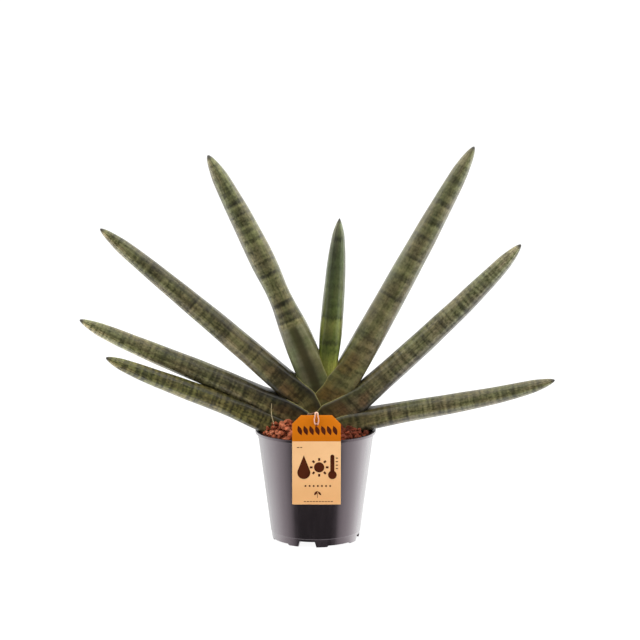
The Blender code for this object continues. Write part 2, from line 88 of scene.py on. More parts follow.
# Pot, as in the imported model
POT_HEIGHT = 110.0
POT_FOOT_RADIUS = 43.2
POT_TOP_RADIUS = 57.7
POT_WALL = 1.0
LIP_RADIUS = 60.0
LIP_HEIGHT = 3.0
LIP_EDGE = 0.8
LIP_ROUND = 0.4
LIP_UNDER_ROUND = 0.5
FOOT_ROUND = 0.25
SKIRT_ROUND = 0.5
FLOOR_ROUND = 1.0
FLOOR_UNDERSIDE = 5.9
FLOOR_THICKNESS = 1.2
SKIRT_DRAFT = 0.6
SKIRT_STEP_HEIGHT = 8.2
SKIRT_STEP = 0.4
FOOT_HEIGHT = 1.5
FOOT_ARC = 15.0
NOTCH_HEIGHT = 5.7
NOTCH_ARC = 22.7
NOTCH_FLARE = 3.0
NOTCH_COUNT = 4
FIRST_NOTCH = -11.0
DRAIN_RADIUS = 3.5
DRAIN_PITCH = 30.0
DRAIN_SIDES = 40
POT_SIDES = 192

# Filling: a low bed, and granules heaped on it against the leaves
SOIL_TOP = 94.0
BED_WALL_TOP = 106.5
HEAP_RISE = 8.5
HEAP_LEFT_RISE = 5.0
HEAP_SHOULDER = 6
BED_SIDES = 64
BED_DROP = 3.5
BED_RING_INSETS = (-0.3, 2.5, 7.0, 14.0, 24.0, 43.0)
GRANULE_SEED = 14
# Layers of granules, the last of them crumbs between the others: height over the bed, spacing,
# range of half-sizes, how finely they are made and how far to the right they reach
GRANULE_LAYERS = (
    (0.2, 5.2, (2.7, 3.6), 3, 60),
    (2.6, 5.4, (2.6, 3.9), 3, 60),
    (4.9, 7.4, (2.5, 3.7), 3, 60),
    (7.2, 5.4, (2.3, 3.3), 3, -24),
    (1.7, 2.6, (1.1, 2.0), 2, 60),
)
GRANULE_TRIES = 9000
# How much paler the granules left of the middle are: painted light on that side of the heap
GRANULE_LEFT_LIGHT = 0.4
GRANULE_CUTS = 9
# As shares of a granule's half-size: how far out its flat faces lie, the most that it reaches
# between them, how rough it is, and how much it is stretched each way
GRANULE_FACES = (0.5, 0.88)
GRANULE_REACH = 1.05
GRANULE_ROUGHNESS = 0.09
GRANULE_STRETCH = (0.75, 1.25)
# How often the roughness changes over a half-size, and how far a granule lies off its layer
GRANULE_GRAIN = 2.6
GRANULE_JITTER = 0.6
GRANULE_WALL_GAP = 0.4
RAY_STEP = 0.001
# Share of its half-size that a granule fills on the average
GRANULE_SPAN = 0.75

# Leaves, innermost first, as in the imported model
STEM_X = 1.5
STEM_RADIUS = 8.0
STEM_TOP = 111.5
STEM_SIDES = 28
Leaf = namedtuple("Leaf", "name tip neck rise reach girth fullness taper sheath wrap depth foot waist")
LEAVES = (
    Leaf("leaf_centre", (23.5, 6, 320.2), (11.8, 170), 85, 86.6, 22.4, 3.2, 0.54, 9.3, 0, 9.3, 112, 0),
    Leaf("leaf_left_1", (-106.1, 16, 381.4), (-1.5, 160), 69.7, 61.2, 30.9, 1.35, 0.325, 14.8, 2, 11,
         110, 0.21),
    Leaf("leaf_right_1", (156.2, 20, 389.6), (22.9, 149.8), 60.2, 61, 29.3, 1.8, 0.35, 14, 11, 12.5, 107, 0),
    Leaf("leaf_left_2", (-210.5, -10, 311.7), (-14.6, 143.4), 41.8, 39.7, 25.4, 1.55, 0.33, 12.3, 4.5, 14,
         104, 0),
    Leaf("leaf_right_2", (201, -8, 296), (31.1, 130.4), 41.5, 48.5, 23.9, 2.4, 0.35, 11.8, 12, 15.5, 101, 0),
    Leaf("leaf_left_3", (-232.7, -4, 220.7), (-34, 130.7), 28.2, 27, 23.3, 2.1, 0.36, 11, 6, 17, 98, 0),
    Leaf("leaf_right_3", (235.3, -18, 162.9), (36, 117.3), 13.2, 19.1, 22, 1.55, 0.32, 9.7, 5, 18, 94, 0),
    Leaf("leaf_left_4", (-205.3, -26, 186.7), (-54, 121.4), 24.2, 26.6, 21.4, 1.8, 0.36, 10.8, 1, 19, 88, 0),
)
WAIST_PLACE = 0.63
WAIST_REACH = 0.08
TIP_LENGTH = 0.1
TIP_RADIUS = 0.35
TIP_BLUNTNESS = 0.2
TIP_CROWDING = 1.5
TIP_LEAN = 1.2
FLARE_START = 0.72
SQUARENESS = 3.0
WRAP_ABOVE = 25.0
WRAP_BELOW = 20.0
FOOT_OFFSET = 1.5
LEAF_SIDES = 56
BLADE_RINGS = 130
SHEATH_RINGS = 44
# Shallow furrows along a leaf, and slow swellings of its surface
FURROW_COUNT = 13
FURROW_DEPTH = 0.1
SWELL_DEPTH = 0.28
SWELL_LENGTH = 26.0
SWELL_TURN = 1.3
# Finer furrows between the others, how the furrows sway, and the half-width from which the
# relief is at its full height
FINE_FURROW_COUNT = 19
FINE_FURROW_SHARE = 0.5
FURROW_SWAY = 0.6
FURROW_SWAY_LENGTH = 55.0
RELIEF_HALF_WIDTH = 6.0
# Radius of the circle on which a leaf's own pattern is laid out
SKIN_RADIUS = 10.0
MARGIN_RADIUS = 0.24
MARGIN_FADE = 0.45
MARGIN_LOWEST = 96.0
MARGIN_REACH = 30.0
MARGIN_TAPER = 10
MARGIN_END = 0.2
MARGIN_STEP = 0.8
MARGIN_SIDES = 8

# Hang tag and its string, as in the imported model
TAG_WIDTH = 47.0
TAG_HEIGHT = 87.5
TAG_THICKNESS = 0.8
TAG_CORNER = 8.5
TAG_EDGE = 0.12
TAG_HOLE_RADIUS = 2.0
TAG_HOLE_DROP = 8.6
TAG_HOLE_SIDES = 40
TAG_TOP = 136.0
TAG_TILT = 3.0
TAG_X = 0.9
TAG_BAND = 25.6
PRINT_RISE = 0.03
STRING_RADIUS = 0.6
STRING_SIDES = 14
KNOT_RADIUS = 1.6
KNOT_RISE = 1.5
KNOT_BEHIND = 1.2
HITCH_HALF_WIDTH = 2.1
TAIL_KNOT_RADIUS = 1.3
TAIL = ((0, 0, 0), (-0.6, 9.0, -1.1), (-1.8, 20.0, -3.4), (-4.2, 31.0, -6.4), (-8.0, 40.6, -9.3))
FIBRE_RADIUS = 0.32
FIBRE_SIDES = 8
FIBRE = ((-40.5, -25.0, 113), (-41.0, -24.5, 120), (-43.0, -23.5, 127), (-43.6, -21.5, 132.5),
         (-43.3, -19.5, 140))


class Graph:
    """A node tree whose nodes are added by short calls.

    A value that is a socket is linked to an input, any other value is set on it.
    """

    def __init__(self, tree):
        self.nodes = tree.nodes
        self.links = tree.links

    def put(self, socket, value):
        if isinstance(value, bpy.types.NodeSocket):
            self.links.new(value, socket)
        elif isinstance(value, tuple) and len(value) == 3 and socket.type == "RGBA":
            socket.default_value = (*value, 1.0)
        else:
            socket.default_value = value

    def add(self, kind, inputs, output=0, **settings):
        node = self.nodes.new(kind)
        for name, value in settings.items():
            setattr(node, name, value)
        for key, value in inputs.items():
            self.put(node.inputs[key], value)
        return node.outputs[output]

    def split(self, vector):
        node = self.nodes.new("ShaderNodeSeparateXYZ")
        self.links.new(vector, node.inputs[0])
        return node.outputs

    def scaled(self, vector, factors):
        return self.add("ShaderNodeVectorMath", {0: vector, 1: factors}, operation="MULTIPLY")

    def noise(self, vector, scale, detail=2.0, roughness=0.5):
        """Noise of one scale, or of one for each axis."""
        if isinstance(scale, tuple):
            vector, scale = self.scaled(vector, scale), 1.0
        return self.add("ShaderNodeTexNoise", {"Vector": vector, "Scale": scale, "Detail": detail,
                                               "Roughness": roughness})

    def math(self, operation, first, second=0.0):
        return self.add("ShaderNodeMath", {0: first, 1: second}, operation=operation)

    def times(self, first, second):
        return self.math("MULTIPLY", first, second)

    def weigh(self, *parts):
        """Sum of values about their middle, 0.5, each with its weight."""
        total = None
        for value, weight in parts:
            part = self.times(self.math("SUBTRACT", value, 0.5), weight)
            total = part if total is None else self.math("ADD", total, part)
        return total

    def spread(self, value, low, high, to_low=0.0, to_high=1.0, smooth=True):
        return self.add("ShaderNodeMapRange",
                        {"Value": value, "From Min": low, "From Max": high, "To Min": to_low,
                         "To Max": to_high},
                        interpolation_type="SMOOTHSTEP" if smooth else "LINEAR")

    def mix(self, factor, first, second, blend="MIX"):
        return self.add("ShaderNodeMix", {0: factor, 6: first, 7: second}, 2, data_type="RGBA",
                        blend_type=blend)

    def tint(self, colour, other, factor=1.0):
        """A colour multiplied by another one, as far as the factor says."""
        return self.mix(factor, colour, other, "MULTIPLY")

    def ramp(self, value, stops):
        """Colours that change with a value, as (value, colour) from the lowest value up."""
        node = self.nodes.new("ShaderNodeValToRGB")
        elements = node.color_ramp.elements
        first, last = elements
        for element, (place, colour) in ((first, stops[0]), (last, stops[-1])):
            element.position = place
            element.color = (*colour, 1.0)
        for place, colour in stops[1:-1]:
            elements.new(place).color = (*colour, 1.0)
        self.links.new(value, node.inputs[0])
        return node.outputs[0]


class Shading(Graph):
    """A procedural material."""

    def __init__(self, name):
        self.material = bpy.data.materials.new(name)
        self.material.use_nodes = True
        super().__init__(self.material.node_tree)
        self.shader = self.nodes["Principled BSDF"]

    def set(self, **values):
        """Set inputs of the shader, whose names are written with underscores."""
        for name, value in values.items():
            self.put(self.shader.inputs[name.replace("_", " ")], value)

    def place(self):
        return self.add("ShaderNodeTexCoord", {}, "Object")

    def attribute(self, name, output="Vector"):
        return self.add("ShaderNodeAttribute", {}, output, attribute_name=name)

    def bump(self, height, distance, strength=1.0):
        normal = self.add("ShaderNodeBump",
                          {"Height": height, "Distance": distance * MM, "Strength": strength})
        self.put(self.shader.inputs["Normal"], normal)


def added(name, data):
    """A new object in the scene."""
    made = bpy.data.objects.new(name, data)
    bpy.context.scene.collection.objects.link(made)
    return made


def smooth(data):
    data.shade_smooth()
    data.set_sharp_from_angle(angle=math.radians(SMOOTH_ANGLE))


def store(data, name, kind, field, values):
    """Keep a value for each of a mesh's points, which its material reads by name."""
    data.attributes.new(name, kind, "POINT").data.foreach_set(field, values)


def solid(name, mesh, *finishes):
    """Put a bmesh made in millimetres into the scene as one object in metres."""
    bmesh.ops.scale(mesh, vec=(MM, MM, MM), verts=mesh.verts)
    bmesh.ops.recalc_face_normals(mesh, faces=mesh.faces)
    data = bpy.data.meshes.new(name)
    mesh.to_mesh(data)
    mesh.free()
    smooth(data)
    for finish in finishes:
        data.materials.append(finish)
    return added(name, data)


def loft(rings, mesh=None):
    """Skin a list of equal rings of points and close both ends."""
    mesh = mesh or bmesh.new()
    made = [[mesh.verts.new(point) for point in ring] for ring in rings]
    for low, high in zip(made, made[1:]):
        for i in range(len(low)):
            j = (i + 1) % len(low)
            mesh.faces.new((low[i], low[j], high[j], high[i]))
    mesh.faces.new(list(reversed(made[0])))
    mesh.faces.new(made[-1])
    return mesh


def circle(radius, sides, height=0.0):
    """Points of a level circle about Z."""
    turns = [2 * math.pi * i / sides for i in range(sides)]
    return [(radius * math.cos(turn), radius * math.sin(turn), height) for turn in turns]


def turned(profile, sides):
    """Turn an outline of (radius, height) points, starting and ending on the axis, about Z."""
    return loft([circle(radius, sides, height) for radius, height in profile[1:-1]])


def cylinder(centre, radius, depth, sides):
    """An upright round block about a centre."""
    mesh = bmesh.new()
    bmesh.ops.create_cone(mesh, cap_ends=True, segments=sides, radius1=radius, radius2=radius,
                          depth=depth)
    bmesh.ops.translate(mesh, vec=centre, verts=mesh.verts)
    return mesh


def tube(points, radius, sides, ends=1.0, mesh=None):
    """A round rod along a list of points, its end rings scaled by ends.

    The radius is one number, or a list with one for each point.
    """
    points = [Vector(point) for point in points]
    radii = radius if isinstance(radius, list) else [radius] * len(points)
    rings = []
    across = Vector((0, 0, 1))
    for i, point in enumerate(points):
        ahead = points[min(i + 1, len(points) - 1)] - points[max(i - 1, 0)]
        ahead.normalize()
        across = across - ahead * across.dot(ahead)
        if across.length < 0.05:
            across = ahead.orthogonal()
        across.normalize()
        beside = ahead.cross(across)
        scale = ends if i in (0, len(points) - 1) else 1.0
        ring = []
        for k in range(sides):
            turn = 2 * math.pi * k / sides
            out = across * math.cos(turn) + beside * math.sin(turn)
            ring.append(point + out * radii[i] * scale)
        rings.append(ring)
    return loft(rings, mesh)


def smooth_path(points, steps):
    """A curve that passes through every point, with steps points between each two."""
    points = [Vector(point) for point in points]
    padded = [2 * points[0] - points[1], *points, 2 * points[-1] - points[-2]]
    path = []
    for a, b, c, d in zip(padded, padded[1:], padded[2:], padded[3:]):
        for k in range(steps):
            u = k / steps
            bend = (2 * a - 5 * b + 4 * c - d) * u * u + (3 * b - a - 3 * c + d) * u ** 3
            path.append(b + 0.5 * ((c - a) * u + bend))
    path.append(points[-1])
    return path


def cut(target, meshes, solver="MANIFOLD", marked=False):
    """Cut solids out of a piece one by one; marked cuts get the piece's second finish."""
    for mesh in meshes:
        tool = solid("cutter", mesh, *([None, None] if marked else []))
        if marked:
            tool.data.polygons.foreach_set("material_index", [1] * len(tool.data.polygons))
        step = target.modifiers.new("cut", "BOOLEAN")
        step.operation = "DIFFERENCE"
        step.object = tool
        step.solver = solver
        depsgraph = bpy.context.evaluated_depsgraph_get()
        data = bpy.data.meshes.new_from_object(target.evaluated_get(depsgraph))
        target.modifiers.clear()
        target.data = data
        data.set_sharp_from_angle(angle=math.radians(SMOOTH_ANGLE))
        bpy.data.objects.remove(tool, do_unlink=True)


@contextmanager
def edited(made):
    """The object's mesh as a bmesh, which is put back at the end of the block."""
    mesh = bmesh.new()
    mesh.from_mesh(made.data)
    yield mesh
    mesh.to_mesh(made.data)
    mesh.free()


def keep_largest(target):
    """Drop the loose scraps that a cut has left beside the main body."""
    with edited(target) as mesh:
        left = set(mesh.verts)
        bodies = []
        while left:
            front = [left.pop()]
            body = set(front)
            while front:
                vert = front.pop()
                beside = {edge.other_vert(vert) for edge in vert.link_edges} - body
                body |= beside
                left -= beside
                front.extend(beside)
            bodies.append(body)
        bodies.sort(key=len)
        for body in bodies[:-1]:
            bmesh.ops.delete(mesh, geom=list(body), context="VERTS")


def bezier(a, b, c, d, u):
    v = 1 - u
    return a * v ** 3 + b * 3 * v * v * u + c * 3 * v * u * u + d * u ** 3


def ease(value):
    value = max(0.0, min(1.0, value))
    return value * value * (3 - 2 * value)


def leaf_side(leaf):
    """1 for a leaf that leans to the right, -1 for one that leans to the left."""
    return 1 if leaf.tip[0] > 0 else -1


def leaf_heading(leaf, slope):
    """Unit direction in the fan's plane that climbs away from the stem at a slope."""
    turn = math.radians(slope)
    return Vector((leaf_side(leaf) * math.cos(turn), 0, math.sin(turn)))


def leaf_spine(leaf):
    """Centre-line stations of a leaf from tip to foot, each a point and its share of the way.

    The share runs from 0 at the tip to 1 at the neck, and on to 2 at the foot.
    """
    offset = 0 if leaf.name == "leaf_centre" else leaf_side(leaf) * FOOT_OFFSET
    tip = Vector((leaf.tip[0], 0, leaf.tip[2]))
    neck = Vector((leaf.neck[0], 0, leaf.neck[1]))
    foot = Vector((STEM_X + offset, 0, leaf.foot))
    handle = (tip - neck).length / 3
    blade = (tip, tip - leaf_heading(leaf, leaf.reach) * handle,
             neck + leaf_heading(leaf, leaf.rise) * handle, neck)
    handle = (neck - foot).length / 3
    # The sheath steepens on its way down to the stem
    lift = leaf_heading(leaf, (leaf.rise + 90) / 2) * handle
    sheath = (neck, neck - leaf_heading(leaf, leaf.rise) * handle, foot + lift, foot)
    stations = []
    for i in range(BLADE_RINGS + 1):
        share = (i / BLADE_RINGS) ** TIP_CROWDING
        point = bezier(*blade, share)
        point.y = leaf.tip[1] * (1 - share) ** TIP_LEAN
        stations.append((point, share))
    for i in range(1, SHEATH_RINGS + 1):
        share = i / SHEATH_RINGS
        stations.append((bezier(*sheath, share), 1 + share))
    return stations


def flare(share):
    """How far the blade has widened into its sheath, from 0 to 1."""
    return ease((share - FLARE_START) / (1 - FLARE_START))


def leaf_half_width(leaf, share):
    """Half of the leaf's width in the fan's plane."""
    along = min(share, 1.0)
    half = leaf.girth / 2 * (1 - (1 - along) ** leaf.fullness) ** leaf.taper
    if along < TIP_LENGTH:
        half *= (along / TIP_LENGTH) ** TIP_BLUNTNESS
    half *= 1 - leaf.waist * math.exp(-0.5 * ((along - WAIST_PLACE) / WAIST_REACH) ** 2)
    half += (leaf.sheath - half) * flare(along)
    return max(half, TIP_RADIUS)


def leaf_half_depth(leaf, share):
    """Half of the leaf's depth across the fan: round along the blade, deep at the sheath."""
    width = leaf_half_width(leaf, share)
    return width + (leaf.depth - width) * flare(share)


def leaf_wrap(leaf, share):
    """How far the sheath's upper edge reaches past its half-width, round the leaves inside."""
    if share < 1:
        below = (share - 1) * math.hypot(leaf.tip[0] - leaf.neck[0], leaf.tip[2] - leaf.neck[1])
    else:
        below = (share - 1) * math.hypot(leaf.neck[0] - STEM_X, leaf.neck[1] - leaf.foot)
    spread = (below + WRAP_ABOVE) / (WRAP_BELOW + WRAP_ABOVE)
    return leaf.wrap * max(0.0, min(1.0, spread))


Section = namedtuple("Section", "centre ahead wide deep half_width half_depth wrap power share along")


def leaf_sections(leaf):
    """The leaf's cross-sections from tip to foot, along being the length from the tip."""
    stations = leaf_spine(leaf)
    places = [point for point, _ in stations]
    sections = []
    along = 0.0
    for i, (point, share) in enumerate(stations):
        ahead = places[min(i + 1, len(places) - 1)] - places[max(i - 1, 0)]
        ahead.normalize()
        deep = (Vector((0, 1, 0)) - ahead * ahead.y).normalized()
        if i:
            along += (point - places[i - 1]).length
        sections.append(Section(point, ahead, deep.cross(ahead), deep, leaf_half_width(leaf, share),
                                leaf_half_depth(leaf, share), leaf_wrap(leaf, share),
                                2 / (2 + SQUARENESS * flare(share)), share, along))
    return sections


def wrap_at(leaf, section, across):
    """The sheath's extra reach on the side of its section that across points to."""
    return section.wrap if across * leaf.tip[0] > 0 else 0


def squared(value, power):
    """A sine or cosine raised to a power, which makes a round section more square."""
    return math.copysign(abs(value) ** power, value)


def leaf_relief(leaf, turn, section):
    """Height of the furrows and swellings on a leaf's skin at one point of a section."""
    phase = FURROW_SWAY * math.sin(section.along / FURROW_SWAY_LENGTH) + leaf.neck[0]
    furrow = (math.cos(FURROW_COUNT * turn + phase)
              + FINE_FURROW_SHARE * math.cos(FINE_FURROW_COUNT * turn - phase))
    spot = Vector((SWELL_TURN * math.cos(turn) + leaf.neck[0], SWELL_TURN * math.sin(turn),
                   section.along / SWELL_LENGTH))
    height = FURROW_DEPTH * furrow + SWELL_DEPTH * noise.noise(spot)
    return height * ease(section.half_width / RELIEF_HALF_WIDTH)


def leaf_body(leaf, clearance=0.0, relief=False):
    """The whole leaf as one swept solid, before its neighbours are cut out of it."""
    sections = leaf_sections(leaf)
    rings = []
    for section in sections:
        centre = section.centre
        if section is sections[0]:
            centre = centre - section.ahead * clearance
        if section is sections[-1]:
            centre = centre + section.ahead * clearance
        ring = []
        for k in range(LEAF_SIDES):
            turn = 2 * math.pi * (k + 0.5) / LEAF_SIDES
            raised = clearance + (leaf_relief(leaf, turn, section) if relief else 0)
            across = squared(math.cos(turn), section.power)
            through = squared(math.sin(turn), section.power)
            half_width = section.half_width + raised + wrap_at(leaf, section, across)
            ring.append(centre + section.wide * across * half_width
                        + section.deep * through * (section.half_depth + raised))
        rings.append(ring)
    return loft(rings)


def rim_paths(data):
    """Chains of points along the edges where a leaf's skin meets what was cut out of it."""
    mesh = bmesh.new()
    mesh.from_mesh(data)
    links = defaultdict(list)
    for edge in mesh.edges:
        if len({face.material_index for face in edge.link_faces}) == 2:
            first, second = edge.verts
            links[first].append(second)
            links[second].append(first)
    paths = []
    while links:
        ends = [vert for vert, others in links.items() if len(others) == 1]
        vert = ends[0] if ends else next(iter(links))
        path = [vert.co / MM]
        while links.get(vert):
            other = links[vert].pop()
            links[other].remove(vert)
            if not links[vert]:
                del links[vert]
            path.append(other.co / MM)
            vert = other
        if vert in links and not links[vert]:
            del links[vert]
        paths.append(path)
        links = defaultdict(list, {key: value for key, value in links.items() if value})
    mesh.free()
    return paths


def margin_runs(path):
    """The stretches of a path that lie near enough to the stem to show a margin."""
    runs = [[]]
    for point in path:
        if abs(point.x - STEM_X) < MARGIN_REACH and point.z > MARGIN_LOWEST:
            runs[-1].append(point)
        elif runs[-1]:
            runs.append([])
    return [run for run in runs if len(run) > MARGIN_TAPER]


def evened(path, step):
    """A path with its points set step apart and its jags smoothed away."""
    evenly = [path[0]]
    for point in path[1:]:
        while (point - evenly[-1]).length > step:
            evenly.append(evenly[-1] + (point - evenly[-1]).normalized() * step)
    for _ in range(3):
        middle = [(a + 2 * b + c) / 4 for a, b, c in zip(evenly, evenly[1:], evenly[2:])]
        evenly = [evenly[0], *middle, evenly[-1]]
    return evenly


def add_skin_layout(made, leaf, rims):
    """Store where each point lies on the leaf, for its pattern, and how near to a margin."""
    sections = leaf_sections(leaf)
    centres = np.array([section.centre for section in sections])
    count = len(made.data.vertices)
    places = np.empty(count * 3)
    made.data.vertices.foreach_get("co", places)
    places = places.reshape(-1, 3) / MM
    layout = np.zeros((count, 3))
    for i, place in enumerate(places):
        section = sections[int(((centres - place) ** 2).sum(1).argmin())]
        offset = Vector(place) - section.centre
        across = offset.dot(section.wide)
        half_width = section.half_width + wrap_at(leaf, section, across)
        turn = math.atan2(offset.dot(section.deep) / section.half_depth, across / half_width)
        layout[i] = (SKIN_RADIUS * math.cos(turn), SKIN_RADIUS * math.sin(turn),
                     section.along + offset.dot(section.ahead))
    store(made.data, "skin", "FLOAT_VECTOR", "vector", layout.ravel())
    near = np.zeros(count)
    rim = np.array([point for path in rims for point in path])
    if len(rim):
        for i, place in enumerate(places):
            distance = math.sqrt(((rim - place) ** 2).sum(1).min())
            near[i] = math.exp(-distance / MARGIN_FADE)
    store(made.data, "margin", "FLOAT", "value", near)


# How one leaf's skin looks. colour is its mean colour, pitch the length of a cross band, jag how
# far the bands' edges run up and down, contrast how strong the bands are, reach what is left of
# that at the flanks, lines how strong the dark lengthwise lines are, fold how bright the
# flanks of its sheath are near the neck, which is painted shade where the leaves crowd round the
# crown, and blush how red the sheath is. bars are the places of single dark bars as lengths from
# the tip. rounds are brightnesses round the leaf, from its lower side at -1 to its upper side at
# 1, and shades are colours along it; both multiply the skin's colour. Both hold the leaf's own
# flanks, grooves and tones, and painted light and shade too: rounds paint light on sides that the
# other leaves shade, and shade on others, and the last shades of several leaves are painted shade
# towards the neck, in the crown. From the length heart on the flanks are even and the middle is
# dark, and most leaves have no such stretch: for them it starts past the leaf's end.
NO_HEART = 400
Look = namedtuple("Look", "colour pitch jag contrast reach lines fold blush bars rounds shades heart",
                  defaults=(NO_HEART,))


def grey(brightness):
    return (brightness,) * 3


def greys(*steps):
    """Shades without a tint, given as (length from the tip, brightness)."""
    return tuple((place, grey(brightness)) for place, brightness in steps)


LOOKS = {
    "leaf_centre": Look(
        (0.067, 0.079, 0.024), 10, 4, 0.5, 0.6, 0.15, 1.0, 0.0, (20, 123),
        ((-0.9, 1.1), (-0.65, 1.6), (-0.4, 1.0), (-0.1, 0.9), (0.1, 0.73), (0.35, 0.54), (0.55, 0.58),
         (0.75, 0.85), (0.95, 0.85)),
        ((8, (1.57, 1.4, 2.1)), (30, (1.0, 0.95, 1.2)), (52, (0.93, 0.93, 1.1)), (70, (1.0, 1.03, 1.0)),
         (94, (1.1, 1.1, 0.95)), (97, (0.7, 0.75, 0.6)), (100, (1.9, 1.8, 1.3)), (111, (1.75, 1.7, 1.2)),
         (119, (1.25, 1.35, 0.9)), (131, (1.5, 1.6, 0.95)), (142, (2.6, 2.35, 1.5)))),
    "leaf_left_1": Look(
        (0.093, 0.088, 0.035), 4.5, 1.5, 1.05, 0.65, 0.25, 1.1, 0.15, (43, 55, 65, 84, 122, 132, 163, 173),
        ((-0.85, 0.85), (-0.65, 1.45), (-0.35, 0.92), (-0.15, 1.0), (0.05, 0.88), (0.25, 0.72),
         (0.45, 1.0), (0.65, 1.1), (0.85, 0.85)),
        greys((14, 1.35), (34, 1.15), (100, 1.12), (150, 1.15), (172, 0.85), (181, 0.8), (184, 1.35),
              (188, 1.0), (214, 1.0), (236, 0.75)), 186),
    "leaf_right_1": Look(
        (0.098, 0.091, 0.038), 5.5, 1.3, 0.8, 0.6, 0.2, 1.0, 1.0, (39, 64, 83, 102, 124, 148, 168, 215),
        ((-0.85, 1.0), (-0.6, 1.2), (-0.35, 1.3), (-0.15, 1.2), (0.05, 0.87), (0.35, 0.84), (0.5, 0.95),
         (0.65, 0.8), (0.9, 0.78)),
        greys((12, 1.4), (32, 1.02), (100, 1.03), (154, 1.08), (214, 1.08), (240, 1.0), (256, 1.0))),
    "leaf_left_2": Look(
        (0.106, 0.095, 0.040), 4, 1.3, 1.0, 0.8, 0.3, 0.3, 0.8, (49, 64, 75, 115, 140, 159, 188, 211),
        ((-0.8, 1.28), (-0.6, 1.05), (-0.4, 1.6), (-0.2, 1.3), (-0.08, 0.84), (0.1, 0.96), (0.3, 0.93),
         (0.5, 0.5), (0.75, 0.6), (0.95, 0.55)),
        greys((12, 1.65), (34, 1.12), (60, 1.0), (134, 1.0), (174, 0.96), (214, 0.85), (240, 0.64))),
    "leaf_right_2": Look(
        (0.114, 0.105, 0.050), 4.5, 1.3, 1.0, 0.8, 0.35, 0.4, 0.8, (53, 72, 83, 109, 132, 150, 176, 190),
        ((-0.8, 0.58), (-0.6, 0.7), (-0.4, 1.3), (-0.25, 0.93), (-0.02, 1.2), (0.1, 1.15), (0.3, 0.84),
         (0.5, 0.98), (0.75, 1.05), (0.95, 0.85)),
        greys((12, 1.6), (34, 1.18), (60, 1.06), (120, 1.05), (154, 0.96), (194, 0.8), (214, 0.66))),
    "leaf_left_3": Look(
        (0.110, 0.100, 0.041), 4, 1.3, 1.2, 0.85, 0.25, 0.15, 0.6, (47, 90, 129, 147, 161, 177, 190),
        ((-0.75, 1.75), (-0.55, 1.7), (-0.35, 1.95), (-0.15, 1.5), (0.0, 0.86), (0.13, 0.84), (0.25, 0.88),
         (0.5, 0.83), (0.7, 0.63), (0.85, 0.77), (0.95, 0.95)),
        greys((12, 1.5), (34, 1.15), (74, 1.13), (94, 0.98), (114, 0.8), (154, 0.66), (194, 0.68),
              (212, 0.5))),
    "leaf_right_3": Look(
        (0.115, 0.104, 0.045), 4, 1.3, 1.05, 0.8, 0.4, 0.45, 0.4, (16, 42, 51, 79, 107, 117, 150, 166),
        ((-0.75, 0.97), (-0.55, 0.75), (-0.35, 1.15), (-0.2, 1.4), (0.03, 0.97), (0.2, 1.0), (0.5, 0.9),
         (0.7, 0.72), (0.9, 0.76)),
        greys((12, 1.25), (34, 1.03), (100, 1.03), (134, 1.0), (174, 0.9), (194, 0.74))),
    "leaf_left_4": Look(
        (0.103, 0.093, 0.029), 3.8, 1.2, 1.4, 0.85, 0.25, 0.4, 0.3, (20, 34, 41, 60, 100, 114, 133),
        ((-0.75, 1.1), (-0.6, 1.5), (-0.35, 1.05), (-0.15, 1.25), (0.0, 0.83), (0.3, 0.9), (0.5, 0.77),
         (0.68, 0.53), (0.85, 0.8), (0.95, 0.85)),
        greys((12, 1.4), (34, 0.96), (80, 0.95), (134, 0.95), (154, 0.82))),
}
LONGEST_LOOK = 280.0
BRIGHTEST_SHADE = 3.0
# Colours of the darkest and palest bands, and of the flanks, as shares of a leaf's mean colour
DARK_BAND = (0.36, 0.37, 0.27)
PALE_BAND = (1.64, 1.63, 1.73)
LOWER_TINT = (1.0, 1.01, 1.2)
UPPER_TINT = (1.0, 1.01, 0.92)
TIP_TINT = (1.0, 1.01, 1.12)
NECK_TINT = (1.0, 0.98, 0.9)
BAR_HALF = 1.6
BAR_FADE = 1.3
BAR_TONE = 0.55
LINE_HALF = 0.05
HEART_TONE = 0.7
HEART_FLANK = (1.34, 1.46, 2.0)
GREENER = (0.94, 1.03, 0.92)
BROWNER = (1.05, 0.975, 1.03)
TIP_COLOUR = (0.030, 0.026, 0.018)
CROWN_TINT = (1.12, 0.72, 0.62)
MARGIN_COLOUR = (0.21, 0.19, 0.06)


def tinted(colour, tint):
    return tuple(a * b for a, b in zip(colour, tint))


